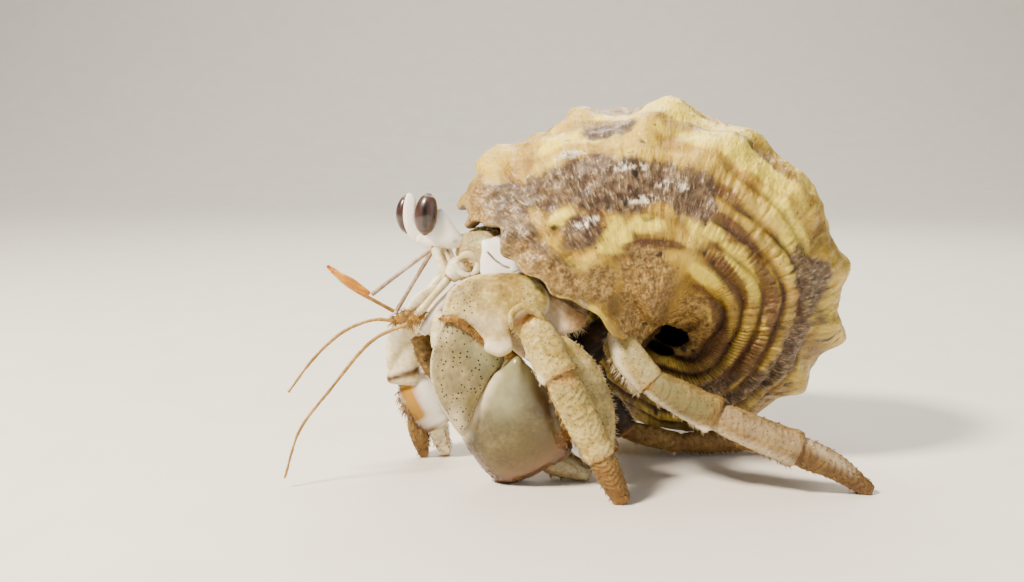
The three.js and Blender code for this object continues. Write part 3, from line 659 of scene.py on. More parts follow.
looks = {
    # smooth limed plate with little pigment: reads as porcelain
    "white": cuticle("limedWhiteCuticle", {
        "deep": "#f0ebdf", "base": "#fdfbf6", "light": "#ffffff", "roughness": 0.33, "grain": 0.12,
        "coat": 0.15, "mottle": 0.3, "tints": {"stain": "#b08124", "brown": "#553a18"}}),
    # the white plate made warmer and darker, over thin stalks and joints: partly their own ivory tone,
    # partly painted shade, as these parts sit in shadow; darker in its folds
    "ivory": cuticle("ivoryAndPaintedShadeCuticle", {
        "deep": "#d0c08c", "base": "#eee5c6", "light": "#faf6e6", "roughness": 0.36, "grain": 0.3,
        "coat": 0.12, "mottle": 0.5, "tints": {"stain": "#8f6420", "brown": "#4f3416"}}),
    # thicker limed plate, dry and finely wrinkled: matt cream with grey-brown hair pores
    "cream": cuticle("limedCreamCuticle", {
        "deep": "#73602a", "base": "#a38b42", "light": "#c8b878", "roughness": 0.52, "grain": 0.9,
        "dot": "#2b1d0c", "dotEvery": 0.48, "dotSize": 0.24, "tints": {"grain": "#d6ca92"}}),
    # older plate near the leg tips, rubbed and stained by soil: warm tan; on the far rear leg and the far
    # maxilliped's tip the tan is painted shade
    "tan": cuticle("soilStainAndShadeCuticle", {
        "deep": "#44300e", "base": "#6b5120", "light": "#9a8148", "roughness": 0.58, "grain": 0.9,
        "dot": "#2b1d0c", "dotEvery": 0.48, "dotSize": 0.24,
        "tints": {"grain": "#a88a50", "grey": "#6f663c", "brown": "#563d1e", "stain": "#8a602c"}}),
    # plate that stays in the shell's mouth: painted shade, near black brown in place of its own paler
    # colour
    "dark": cuticle("paintedShadeInnerCuticle", {
        "deep": "#1a1008", "base": "#2b1b0d", "light": "#4a331a", "roughness": 0.6, "grain": 0.5}),
    # limed plate, thinner and greener, over the claw's wrist: dark pores in open rows
    "dotted": cuticle("poredWristCuticle", {
        "deep": "#6b6040", "base": "#8a7d54", "light": "#aea27a", "roughness": 0.42, "grain": 0.5,
        "mottle": 0.5, "coat": 0.1, "dot": "#191109", "dotEvery": 0.52, "dotSize": 0.26,
        "tints": {"grey": "#96976f"}}),
    # heavy claw plate rubbed smooth: waxy olive with a soft shine
    "palm": cuticle("rubbedPalmCuticle", {
        "deep": "#473e1d", "base": "#60552a", "light": "#7d7246", "roughness": 0.3, "grain": 0.3,
        "coat": 0.3, "glow": 0.1, "mottle": 0.6, "shine": 0.5,
        "tints": {"brown": "#38200a", "grain": "#c09a54", "grey": "#8f8d68", "yellow": "#5b4a14",
                  "stain": "#7e4a12"}}),
    # thin bendable skin with no lime: dull pinkish parchment; its 'brown' tint, near black, is painted
    # shade where the skin lies deep in the shell
    "soft": cuticle("unlimedBodySkin", {
        "deep": "#a07c4c", "base": "#c9a877", "light": "#e6cfa8", "roughness": 0.5, "grain": 0.25,
        "glow": 0.15, "tints": {"brown": "#120a05", "stain": "#8a5c30"}}),
    # joint skin, folded and tanned: golden brown and a little moist
    "fold": cuticle("tannedJointSkin", {
        "deep": "#4c300d", "base": "#7e581c", "light": "#b08a3c", "roughness": 0.4, "grain": 0.6,
        "glow": 0.2}),
    # jointed feeler rings: dry straw
    "feeler": cuticle("strawFeelerCuticle", {
        "deep": "#6d4c1c", "base": "#94702f", "light": "#b8954f", "roughness": 0.45, "grain": 0.2}),
    # long feeler stalks: greyed rose, clean
    "rod": cuticle("roseGreyStalkCuticle", {
        "deep": "#7d6852", "base": "#9c8770", "light": "#bdab94", "roughness": 0.35, "grain": 0.15}),
    # smelling blade at the feeler's end: amber with a red tip
    "blade": cuticle("amberBladeCuticle", {
        "deep": "#96500a", "base": "#b87614", "light": "#d69e30", "roughness": 0.45, "grain": 0.2,
        "tints": {"stain": "#a62c06", "brown": "#8a3e0c"}}),
}


def wetCornea():
    # clear facetted cuticle over dark pigment: glossy plum brown with a black upright slit, the
    # pseudopupil, painted in as a fixed dark mark although in life it moves with the viewpoint
    material, tree, shader = newMaterial("facettedWetCornea", {
        "Roughness": 0.3, "IOR": 1.45, "Coat Weight": 0.55, "Coat Roughness": 0.1})
    place = addNode(tree, "TexCoord", output="Object")
    # real facets are about 0.03 mm across, and are drawn coarser so that they break the shine
    facets = addNode(tree, "TexVoronoi", inputs={"Vector": place, "Scale": perMm(0.11)}, output="Distance")
    cloud = addNode(tree, "TexNoise", inputs={"Vector": place, "Scale": perMm(1.2), "Detail": 3.0})
    colour = addNode(tree, "ValToRGB", {"stops": [(0.3, "#2b1c18"), (0.62, "#4a332c")]}, {0: cloud})
    slit = addNode(tree, "Attribute", {"attribute_name": "streak"}, output="Fac")
    colour = addNode(tree, "Mix", {"data_type": "RGBA"}, {0: slit, 6: colour, 7: "#080505"}, 2)
    tree.links.new(colour, shader.inputs["Base Color"])
    domes = addNode(tree, "Bump", inputs={"Strength": 0.15, "Distance": 0.02 * mm, "Height": facets})
    tree.links.new(domes, shader.inputs["Normal"])
    return material


def setaHair(name, darker, lighter):
    # stiff hollow bristle of clear chitin: catches the light along its length
    material, tree, shader = newMaterial(name, {"Roughness": 0.35, "IOR": 1.55})
    place = addNode(tree, "TexCoord", output="Object")
    cloud = addNode(tree, "TexNoise", inputs={"Vector": place, "Scale": perMm(1.5)})
    shade = addNode(tree, "ValToRGB", {"stops": [(0.35, darker), (0.65, lighter)]}, {0: cloud})
    tree.links.new(shade, shader.inputs["Base Color"])
    return material


looks["cornea"] = wetCornea()
looks["goldSeta"] = setaHair("goldBristle", "#66461a", "#a98444")
looks["paleSeta"] = setaHair("paleBristle", "#a58c5c", "#e4d6b0")
print("finishes made")


bristle = {  # a three-sided spike
    "rings": ((0.0, 1.0), (0.5, 0.75), (0.85, 0.4)),  # share of the length, and the thickness there
    "width": 0.045,  # half thickness, drawn about twice a real one's so that it shows
    "sag": 0.25,
    "sunk": 0.06,  # how far its root lies under the surface
    "strayed": 0.05,
    "lowest": 0.02,  # none reaches through the floor
    "patch": 0.003,  # how far one bristle spreads on its map
}


def growSetae(name, grid, normal, along, turn, seta, slot):
    draw = np.random.default_rng(len(name) * 31 + seta["count"])
    low, high = seta.get("turn", (0, 360))
    allowed = (along >= seta["along"][0]) & (along <= seta["along"][1]) & (grid[..., 2] > 0.5)
    allowed &= (np.degrees(turn) - low) % 360 <= high - low
    roots = draw.choice(np.flatnonzero(allowed), seta["count"])
    roots = np.repeat(roots, seta.get("hairs", 3))
    count = len(roots)
    towardsTip = unit(np.gradient(grid, axis=0)).reshape(-1, 3)[roots]
    outward = normal.reshape(-1, 3)[roots]
    aim = outward * seta.get("stand", 0.7) + towardsTip * seta.get("lie", 0.7)
    aim = unit(aim + draw.normal(0, seta.get("spread", 0.25), (count, 3)))
    length = seta["length"] * draw.uniform(0.55, 1.15, (count, 1))
    base = grid.reshape(-1, 3)[roots] - bristle["sunk"] * outward
    base = base + draw.normal(0, bristle["strayed"], (count, 3))
    side = unit(np.cross(aim, draw.normal(0, 1, (count, 3))))
    other = np.cross(aim, side)
    width = seta.get("width", bristle["width"])
    sag = np.array((0, 0, bristle["sag"])) * length
    points = []
    for share, thick in bristle["rings"]:
        centre = base + aim * length * share - sag * share ** 2
        for corner in range(3):
            angle = corner * 2 * math.pi / 3
            points.append(centre + width * thick * (side * math.cos(angle) + other * math.sin(angle)))
    points.append(base + aim * length - sag)
    points = np.stack(points, axis=1)
    points[..., 2] = np.maximum(points[..., 2], bristle["lowest"])
    hair = [(0, 2, 1)]
    for ring in (0, 3):
        hair += [(ring + i, ring + (i + 1) % 3, ring + 3 + (i + 1) % 3, ring + 3 + i) for i in range(3)]
    hair += [(6 + i, 6 + (i + 1) % 3, 9) for i in range(3)]
    faces = [[start * 10 + i for i in face] for start in range(count) for face in hair]
    rootPlace = np.stack([turn.ravel()[roots] / (2 * math.pi), along.ravel()[roots]], axis=-1) * 0.99
    local = np.linspace(0, bristle["patch"], 10)[None, :, None] * np.array((1.0, 0.5))
    uv = (rootPlace[:, None] + local).reshape(-1, 2)
    piece = makeMesh(name, points.reshape(-1, 3), faces, uv=uv)
    settle(piece, looks[seta.get("look", "goldSeta")], slot)


def finishPiece(name, grid, along, turn, spec, masks):  # relief, stains, bristles and material
    normal = gridNormals(grid)
    lift = 0.04 * noiseAt(grid, 1.5, len(name), 3) * spec.get("uneven", 1.0)
    if "grains" in spec:
        size, height = spec["grains"]
        patchy = between(noiseAt(grid, 2.5, 9, 2), -0.35, 0.2)
        grains = grainsAt(grid, size, len(name)) * patchy
        if "grainMask" in spec:
            grains = grains * spec["grainMask"](grid, along)
        lift = lift + height * grains
        masks["grain"] = 0.55 * grains
    if "rugae" in spec:  # fine overlapping wrinkles across the piece
        spacing, height = spec["rugae"]
        phase = along * spec["length"] / spacing + 0.4 * noiseAt(grid, 1.4, 4, 2) + 0.5 * np.sin(turn * 3)
        saw = fract(phase) ** 1.5 * between(noiseAt(grid, 0.7, 9, 2), -0.45, 0.15)
        lift = lift + height * saw
        masks["grain"] = np.maximum(masks.get("grain", 0), 0.45 * saw)
    for line, width, height in spec.get("ridges", ()):
        lift = lift + height * nearLine(grid, line, width)
    ragged = 1 + 0.5 * noiseAt(grid, 1.0, 51, 3)
    for mask, line, width, strength in spec.get("marks", ()):
        shown = np.clip(strength * ragged * nearLine(grid, line, width), 0, 1)
        masks[mask] = np.maximum(masks.get(mask, 0), shown)
    masks["dirt"] = (1 - between(grid[..., 2], 0.5, 6)) * spec.get("dirty", 0.8)
    masks.setdefault("dotted", np.full(grid.shape[:2], spec.get("dotted", 0.6)))
    grid = grid + normal * lift[..., None]
    grid[..., 2] = np.maximum(grid[..., 2], 0.0)
    piece = makeMesh(name, grid.reshape(-1, 3), gridFaces(*grid.shape[:2]), masks)
    settle(piece, looks[spec["look"]], spec["slot"], *spec.get("nodes", ()))
    for number, seta in enumerate(spec.get("setae", ())):
        growSetae(f"{name}_setae_{number}", grid, normal, along, turn, seta, spec["slot"])


# rounded ends of a segment: how far each ring shrinks, how far it moves out, and how dark it is
ballAngles = np.linspace(0, math.pi / 2, 9)[1:]
nearBall = [(max(math.cos(a), 0.02), -0.45 * math.sin(a), 0) for a in ballAngles[::-1]]
farBall = [(max(math.cos(a), 0.02), 0.45 * math.sin(a), 0) for a in ballAngles]
farSocket = [(0.98, 0.07, 0), (0.93, 0.13, 0), (0.86, 0.12, 0.3), (0.8, 0.0, 0.9), (0.72, -0.25, 1),
             (0.5, -0.5, 1), (0.02, -0.6, 1)]


def squared(values, power):  # a circle's cosine or sine, pushed towards a square
    return np.sign(values) * np.abs(values) ** power


def makeSegment(name, spec):  # a limb segment: ball at its near end, rim and socket at its far end
    rows, columns = spec.get("rows", 80), spec.get("columns", 64)
    line, spec["length"] = smoothLine(spec["line"], rows)
    tangent = unit(np.gradient(line, axis=0))
    side = np.array(spec["side"], float)
    across = unit(side - tangent * (tangent @ side)[:, None])
    up = np.cross(tangent, across)
    t = np.linspace(0, 1, rows)
    shape = 1 + spec.get("collar", 0.05) * bump(t, 0.94, 0.06) - spec.get("neck", 0.16) * bump(t, 0, 0.1)
    halfThick, halfBroad = blend(spec["thick"], t) * shape, blend(spec["broad"], t) * shape
    far = farSocket if spec.get("socket") else farBall
    rings = ([(0, *values) for values in nearBall] + [(i, 1, 0, 0) for i in range(rows)]
             + [(rows - 1, *values) for values in far])
    at = np.array([ring[0] for ring in rings])
    shrink, out, socket = (np.array([ring[k] for ring in rings], float) for k in (1, 2, 3))
    centre = line[at] + (out * halfThick[at])[:, None] * tangent[at]
    angle = np.linspace(0, 2 * math.pi, columns, endpoint=False)
    power = 2 / spec.get("square", 2.25)
    c, s = squared(np.cos(angle), power), squared(np.sin(angle), power)
    grid = (centre[:, None] + across[at][:, None] * ((halfBroad[at] * shrink)[:, None] * c)[..., None]
            + up[at][:, None] * ((halfThick[at] * shrink)[:, None] * s)[..., None])
    along, turn = np.meshgrid(t[at], angle, indexing="ij")
    ends = np.maximum(bump(along, 1.02, 0.05), 0.8 * bump(along, -0.02, 0.1)) * spec.get("stained", 0.8)
    patchy = 0.6 + 0.5 * noiseAt(grid, 1.3, 6, 2)
    masks = {"stain": np.clip(ends * patchy, 0, 1), "socket": np.repeat(socket[:, None], columns, 1)}
    finishPiece(name, grid, along, turn, spec, masks)


def plateProfile(share):
    return (1 - np.clip(share, 0, 1) ** 2.6) ** 0.55


def makePlate(name, spec):  # an outline on a leaning plane, domed to the front and the back
    groundY, slope = spec["lean"]
    outline = [(x, groundY + slope * z, z) for x, z in spec["outline"]]
    columns = spec.get("columns", 190)
    rim, _ = smoothLine(outline, columns, closed=True)
    x, z = spec["crown"]
    crown = np.array((x, groundY + slope * z, z))
    outward = unit(np.array((0, -1, slope)))
    frontShares = np.sin(np.linspace(0.02, 1, spec.get("rows", 90)) * math.pi / 2)
    backShares = np.sin(np.linspace(1, 0.02, 30)[1:] * math.pi / 2)
    shares = np.concatenate([frontShares, backShares])
    frontRise = spec["front"] * plateProfile(frontShares)
    backRise = -spec["back"] * plateProfile(backShares)
    rise = np.concatenate([frontRise, backRise])
    waves = np.fft.rfft(rim, axis=0)
    waves[4:] = 0  # a rounder outline, which the rings take on towards the crown
    roundRim = np.fft.irfft(waves, columns, axis=0)
    sharp = between(shares, 0.45, 1.0)[:, None, None]
    ring = rim[None] * sharp + roundRim[None] * (1 - sharp)
    grid = crown + (ring - crown) * shares[:, None, None] + (rise[:, None] * outward)[:, None]
    isFront = np.concatenate([np.ones(len(frontShares)), np.zeros(len(backShares))])[:, None]
    along = np.repeat(shares[:, None], columns, axis=1) * (isFront * 0.5 + 0.5)
    turn = np.repeat(np.linspace(0, 2 * math.pi, columns, endpoint=False)[None], len(shares), axis=0)
    edge = bump(shares, 1, 0.05)[:, None] * np.ones(columns)
    paleEdge = bump(shares, 0.96, 0.04)[:, None] * isFront
    masks = {"stain": spec.get("edgeStain", 0.25) * edge * (0.7 + 0.5 * noiseAt(grid, 1.4, 8, 2)),
             "pale": spec.get("edgePale", 0.0) * paleEdge * np.ones(columns)}
    finishPiece(name, grid, along, turn, spec, masks)


facePlate = (0.3, 0, 1)


def limb(name, joints, segments, side=facePlate):  # segments from joint to joint, and the folds between
    for i, segment in enumerate(segments):
        near, far = np.array(joints[i], float), np.array(joints[i + 1], float)
        middle = (near + far) / 2 + np.array(segment.get("bow", (0, 0, 0)))
        node = f"{name}_{segment['part']}"
        spec = {"side": side, "nodes": [node], **segment, "line": [near, middle, far]}
        make = makePlate if "outline" in spec else makeSegment
        make("crab_" + node, spec)
        if i and segment.get("fold", True):
            reach = min(segment["thick"][0], segment["broad"][0]) if "thick" in segment else 1.0
            aim = unit(middle - near) * reach
            makeSegment(f"crab_{node}_fold", {
                "line": [near - 0.7 * aim, near, near + 0.8 * aim],
                "broad": (0.7 * reach, 0.9 * reach, 0.7 * reach),
                "thick": (0.7 * reach, 0.88 * reach, 0.7 * reach), "side": side, "look": "fold",
                "slot": segment["slot"], "rows": 30, "columns": 32, "rugae": (0.35, 0.08),
                "stained": 0, "dirty": 0.3})


leftClaw = {
    "palm": {
        "outline": [(-7.2, 15.9), (-5.9, 14.9), (-4.3, 13.3), (-2.8, 11.6), (-1.9, 9.4), (-1.1, 6.8),
                    (-0.6, 4.6), (-1.2, 3.2), (-3.2, 2.1), (-5, 0.9), (-8.1, -0.2), (-10.1, 0.8),
                    (-11.6, 2.8), (-13.1, 5.8), (-12.3, 7.9), (-11.2, 10.6), (-9.5, 13.3)],
        "lean": (-5.4, -0.32), "crown": (-6.6, 7), "front": 2.6, "back": 3.2,
        "look": "palm", "slot": "claw_palm", "nodes": ["claw_left_palm"], "columns": 240, "rows": 130,
        "dotted": 0.0, "uneven": 0.8, "grains": (0.4, 0.17),
        "grainMask": lambda place, along: between(along, 0.6, 0.9) * (1 - between(place[..., 2], 5, 12)),
        "ridges": [([(-9.3, 13.7), (-11.5, 9.6), (-13, 6)], 0.45, 0.22)],
        # painted highlight: the pale line along the upper ridge
        "marks": [("pale", [(-9.1, 13.8), (-11.3, 9.8), (-12.9, 6.2)], 0.6, 0.8),
                  ("grey", [(-7.4, 14.4), (-8.2, 11)], 2.2, 0.75),
                  ("yellow", [(-6.8, 4.2), (-4.2, 6)], 2.6, 0.7),
                  ("brown", [(-6, 14), (-4.2, 11.4), (-3.2, 9)], 1.1, 0.85),
                  ("stain", [(-1.2, 6.4), (-2.2, 3.6), (-4.4, 1.8), (-8, 0.6)], 1.5, 1.0),
                  ("brown", [(-1, 4.6), (-3.2, 2.4), (-7.8, 0.2), (-10.4, 1.4), (-12.9, 5)], 0.8, 1.0)]},
    "finger": {
        "part": "finger", "broad": (1.9, 1.6, 0.9), "thick": (1.8, 1.4, 0.8), "look": "palm",
        "slot": "claw_palm", "grains": (0.4, 0.09), "dotted": 0.0,
        "marks": [("grey", [(-2, 2.4), (1, 1.2)], 1.6, 0.7)],
        "setae": [{"count": 26, "along": (0.2, 0.95), "turn": (150, 260), "length": 0.6}]},
    "merus": {
        "outline": [(-15.2, 20.3), (-14.8, 22.5), (-13.4, 23.8), (-11.7, 24.5), (-8.6, 24.9), (-5.9, 24.7),
                    (-4, 23.5), (-3.2, 21.5), (-4.4, 19.6), (-7.3, 18.8), (-7.5, 16.9), (-8.6, 16.1),
                    (-10.3, 16.5), (-10.5, 17.5), (-12.2, 19.2), (-13.7, 20)],
        "lean": (-17, 0.4), "crown": (-8.6, 21.4), "front": 1.5, "back": 2.2,
        "look": "cream", "slot": "leg_plate", "nodes": ["claw_left_merus"], "columns": 220, "rows": 110,
        "dotted": 0.0, "edgeStain": 0.1, "edgePale": 0.5, "uneven": 0.7,
        "ridges": [([(-10.4, 17), (-9, 16.3), (-7.7, 16.9)], 0.5, 0.18),
                   ([(-14.8, 20.6), (-12, 19.6)], 0.35, 0.12)],
        "marks": [("dotted", [(-14.2, 22), (-12.4, 22.9), (-12.6, 21.2)], 1.2, 2.2),
                  ("dotted", [(-6.4, 22.9), (-5.6, 22)], 0.8, 0.8),
                  ("brown", [(-9.4, 23.9), (-7.6, 23.7)], 1.3, 0.15),
                  ("pale", [(-10, 17.4), (-9, 16.8), (-7.9, 17.4)], 0.9, 0.9),
                  ("pale", [(-12, 20), (-9.6, 19.4)], 1.6, 0.35)]},
    "carpus": {
        "outline": [(-15, 19.8), (-12.9, 20.6), (-10.6, 19.6), (-8.6, 17.6), (-8.4, 14.8), (-10.4, 11.9),
                    (-11.6, 9.8), (-12.3, 7.9), (-13, 6.5), (-13.9, 7.3), (-14.9, 8.8), (-16, 10.6),
                    (-16.6, 12.6), (-16.7, 14.8), (-16.1, 17.3)],
        "lean": (-10, 0.12), "crown": (-12.8, 14.6), "front": 2.2, "back": 2.6,
        "look": "dotted", "slot": "leg_plate", "nodes": ["claw_left_carpus"], "columns": 210, "rows": 110,
        "dotted": 0.95, "uneven": 0.7, "edgeStain": 0.15, "edgePale": 0.4, "grains": (0.5, 0.09),
        "grainMask": lambda place, along: 1 - between(place[..., 2], 8.4, 11.5),
        "marks": [("grey", [(-11, 17.4), (-10, 15.4)], 1.8, 0.5),
                  ("pale", [(-13.6, 9), (-13.2, 8)], 1.1, 0.5),
                  ("yellow", [(-11.6, 11.4), (-12.6, 9.4)], 1.0, 0.35)]},
}

for part in ("palm", "merus", "carpus"):
    makePlate("crab_claw_left_" + part, leftClaw[part])
limb("claw_left", [(-3.6, -5.4, 3), (1.4, -5.6, 0.8)], [leftClaw["finger"]])

goldenFold = {
    "side": (0, -1, 0.3), "look": "fold", "slot": "leg_plate", "rows": 70, "columns": 40,
    "rugae": (0.3, 0.09), "stained": 0, "dirty": 0.2}
makeSegment("crab_claw_left_wrist_fold", dict(goldenFold, line=[
    (-15.3, -9, 19.9), (-14, -9.3, 19.9), (-12.5, -9.5, 19), (-11.2, -9.6, 17.8), (-10.4, -9.6, 17.3)],
    broad=(0.3, 0.5, 0.55, 0.5, 0.3), thick=(0.3, 0.4, 0.45, 0.4, 0.3),
    setae=[{"count": 200, "along": (0, 1), "length": 0.45, "hairs": 3, "width": 0.025, "stand": 0.9}]))
makeSegment("crab_claw_left_palm_fold", dict(goldenFold, line=[
    (-8.6, -9, 16.2), (-7.4, -9.3, 15.6), (-6.6, -9.3, 14.8)],
    broad=(0.4, 0.7, 0.4), thick=(0.4, 0.6, 0.4)))

whiteClaw = {
    "look": "ivory", "slot": "white_plate", "dotted": 0.0, "rows": 90, "columns": 96, "square": 3.6}
limb("claw_right", [(-19.6, 3.1, 5.2), (-18.6, 3.6, 0.3)], [
    dict(whiteClaw, part="finger", broad=(1.2, 1.1, 0.6), thick=(1.3, 1.1, 0.6), look="tan",
         grains=(0.45, 0.08), setae=[{"count": 30, "along": (0.1, 0.9), "length": 0.7}])], (1, 0, 0.2))
limb("claw_right", [(-19.9, 2.8, 10.4), (-17, 3.3, 4.6), (-15.9, 4.2, 0.3)], [
    dict(whiteClaw, part="palm", broad=(2.2, 2.7, 2), thick=(1.9, 2.1, 1.6), look="white",
         grains=(0.5, 0.16),
         grainMask=lambda place, along: 1 - between(place[..., 0] + 0.5 * place[..., 2], -17.0, -15.6),
         marks=[("stain", [(-20.9, 10.8), (-20.2, 8.6), (-19.2, 6.2)], 1.0, 1.6),
                ("brown", [(-22.4, 9.8), (-21.6, 7), (-19.8, 4.4), (-17.6, 3.4)], 1.2, 1.1)],
         setae=[{"count": 110, "along": (0.1, 0.95), "turn": (120, 260), "length": 0.9}]),
    dict(whiteClaw, part="thumb", broad=(1.3, 1.1, 0.6), thick=(1.4, 1.1, 0.6), fold=False,
         grains=(0.45, 0.1), setae=[{"count": 30, "along": (0.1, 0.9), "length": 0.7}])], (1, 0, 0.4))
limb("claw_right", [(-9.5, 2.4, 18.4), (-19.6, 1.7, 17.6), (-21, 2.4, 10.4)], [
    dict(whiteClaw, part="merus", broad=(1.9, 2.3, 1.8), thick=(1.6, 1.9, 1.6), socket=True),
    dict(whiteClaw, part="carpus", broad=(1.7, 2.2, 1.9), thick=(1.8, 2.1, 1.8), bow=(-0.4, 0, 0),
         side=(1, 0, 0.2), socket=True,
         ridges=[([(-22.4, 11.6), (-21, 13.6), (-19.4, 15.6)], 0.7, -0.35),
                 ([(-22.8, 15), (-21.8, 16.6), (-20, 17.4)], 0.5, 0.3)],
         marks=[("brown", [(-19, 11.9), (-21.4, 11.1), (-22.8, 10.6)], 0.45, 1.0),
                ("stain", [(-19, 11.6), (-20.4, 11.2)], 0.5, 0.8),
                ("stain", [(-18.8, 16.6), (-18.6, 15.6)], 0.5, 1.2)])])
print("claws made")

legSegments = [
    # every ischium takes the 'dark' finish: painted shade, as it sits in the shell's shadow
    {"part": "ischium", "broad": (1.6, 1.5, 1.4), "thick": (1.5, 1.4, 1.3), "socket": True, "look": "dark"},
    {"part": "merus", "broad": (1.5, 2.9, 2), "thick": (1.2, 1.6, 1.4), "socket": True,
     "grains": (0.38, 0.05),
     "setae": [{"count": 60, "along": (0.1, 0.95), "turn": (-30, 30), "length": 0.6, "look": "paleSeta"}]},
    {"part": "carpus", "broad": (1.7, 2.1, 2), "thick": (1.4, 1.7, 1.5), "socket": True,
     "grains": (0.36, 0.07), "rugae": (1.1, 0.04),
     "setae": [{"count": 36, "along": (0.2, 1), "turn": (150, 215), "length": 0.5, "look": "paleSeta"}]},
    {"part": "propodus", "broad": (1.8, 1.9, 1.6), "thick": (1.4, 1.5, 1.3), "socket": True,
     "collar": 0.09, "rugae": (0.75, 0.07), "grains": (0.34, 0.09),
     "setae": [{"count": 50, "along": (0.1, 0.98), "turn": (150, 215), "length": 0.45},
               {"count": 30, "along": (0.1, 0.98), "turn": (-30, 30), "length": 0.4}]},
    {"part": "dactylus", "broad": (1.45, 1.35, 0.95), "thick": (1.2, 1.15, 0.75), "rugae": (0.58, 0.12),
     "grains": (0.34, 0.06), "neck": 0.08, "stained": 1.0, "look": "tan",
     "setae": [{"count": 60, "along": (0.05, 0.95), "length": 0.45, "stand": 0.6}]},
]


def walkingLeg(name, joints, changes):  # the five segments, each with what differs on this leg
    segments = []
    for segment in legSegments:
        own = changes.get(segment["part"], {})
        segments.append({"look": "cream", "slot": "leg_plate", **segment, **own})
    limb(name, joints, segments)


frontMerus = {
    "outline": [(-7.6, 19.4), (-7.5, 20.9), (-6.5, 21.7), (-5.2, 21.5), (-4.1, 20.1), (-3.1, 18.5),
                (-1.5, 18.1), (0, 17), (1.6, 15.4), (2.8, 13.3), (3.7, 11), (4.2, 8.2), (4.2, 4.8),
                (3.7, 2.4), (2.4, 2.9), (1.2, 5.7), (-0.5, 9.4), (-2.1, 13.1), (-4.4, 16.6), (-6.6, 18)],
    "lean": (-7, -0.19), "crown": (0.6, 11.6), "front": 1.2, "back": 1.8, "columns": 220, "rows": 90,
    "grains": (0.36, 0.05), "dotted": 0.5, "fold": False, "edgeStain": 0.1,
    "ridges": [([(-7.5, 20), (-7, 21.3), (-5.6, 21.6), (-4.2, 20.4), (-3.2, 18.6)], 0.4, 0.3)],
    # painted shade: the brown mark inside the hood's arch
    "marks": [("brown", [(-6.8, 20), (-5.4, 20.6), (-4.6, 19.6)], 0.7, 0.9),
              ("pale", [(-7.6, 20.4), (-6.2, 21.7), (-4.6, 21.2)], 0.45, 0.7),
              ("grey", [(1, 13), (3, 7)], 2.4, 0.35)],
    "setae": [{"count": 240, "along": (0.93, 1.0), "length": 0.55, "look": "paleSeta", "hairs": 2,
               "lie": 0.1, "width": 0.03}]}
walkingLeg("leg2_left", [(1.5, -2.4, 10.6), (3.5, -6.9, 4), (-5.4, -10.6, 19.9), (-2.5, -12.7, 14.4),
                         (2.1, -13.1, 5.5), (4.6, -13, 0.35)], {
    "merus": frontMerus,
    "dactylus": {"marks": [("stain", [(2.6, 4.6), (4.4, 0.4)], 1.1, 0.5)]},
    "carpus": {"ridges": [([(-6.6, 16.6), (-5.2, 14.4), (-3.8, 13.4)], 0.35, 0.12)],
               "marks": [("pale", [(-6.8, 17), (-5.6, 14.8), (-4, 13.5)], 0.5, 0.9)]},
    "propodus": {"marks": [("stain", [(-2.8, 14.6), (-1.2, 14.6)], 0.8, 0.7)]}})
makeSegment("crab_leg2_left_hood", {
    "line": [(-7.5, -11.3, 19.2), (-7.5, -11.7, 20.9), (-6.2, -11.8, 21.8), (-4.7, -11.6, 21),
             (-3.5, -11.2, 19)],
    "broad": (0.25, 0.45, 0.5, 0.45, 0.25), "thick": (0.25, 0.4, 0.4, 0.4, 0.25), "side": (0, -1, 0),
    "look": "cream", "slot": "leg_plate", "rows": 90, "columns": 36, "stained": 0.3,
    "dotted": 0.2})
walkingLeg("leg3_left", [(0.5, -1.6, 15.2), (4.2, -5, 18.8), (8.2, -8, 12.4), (15.2, -9.1, 8.9),
                         (24.4, -10.1, 5.2), (32.8, -9.8, 0.4)], {
    "merus": {"broad": (0.9, 1.9, 1.7), "bow": (-0.5, 0, -0.3), "square": 2.0,
              "marks": [("pale", [(3.9, 17.6), (4.6, 14.2), (6.8, 11.2)], 0.55, 0.8),
                        ("grey", [(6.4, 16), (8, 13.4)], 1.4, 0.5)],
              "setae": [{"count": 130, "along": (0.1, 0.98), "turn": (145, 225), "length": 0.9, "hairs": 3,
                         "look": "paleSeta", "lie": 0.3, "width": 0.03}]},
    "carpus": {"broad": (1.7, 1.9, 2.1), "rugae": (0.9, 0.09), "look": "tan",
               "marks": [("pale", [(7.4, 11.4), (11, 8.8), (14.6, 7.2)], 0.5, 1.0),
                         ("grey", [(9, 12.4), (13.4, 10)], 1.6, 1.0)]},
    "propodus": {"broad": (1.7, 1.9, 2), "look": "tan",
                 "marks": [("pale", [(15, 7.4), (24, 3.8)], 0.6, 0.45),
                           ("pale", [(15.6, 9.6), (24, 6)], 1.2, 0.15)]},
    "dactylus": {"broad": (1.8, 1.45, 0.8), "bow": (0.2, 0, 0.4), "rugae": (0.8, 0.12),
                 "marks": [("brown", [(24.6, 5), (32.6, 0.6)], 1.8, 0.7),
                           ("pale", [(25.4, 6.4), (30.6, 3)], 0.6, 0.3)]}})
walkingLeg("leg2_right", [(-1.6, 5.2, 14.4), (-2.4, 8.2, 12.6), (-8.6, 12.6, 17.4), (-8.8, 15.4, 11.6),
                          (-6, 17.6, 4.8), (-3.6, 18.2, 0.35)], {"merus": {"broad": (1.5, 2.2, 1.8)}})
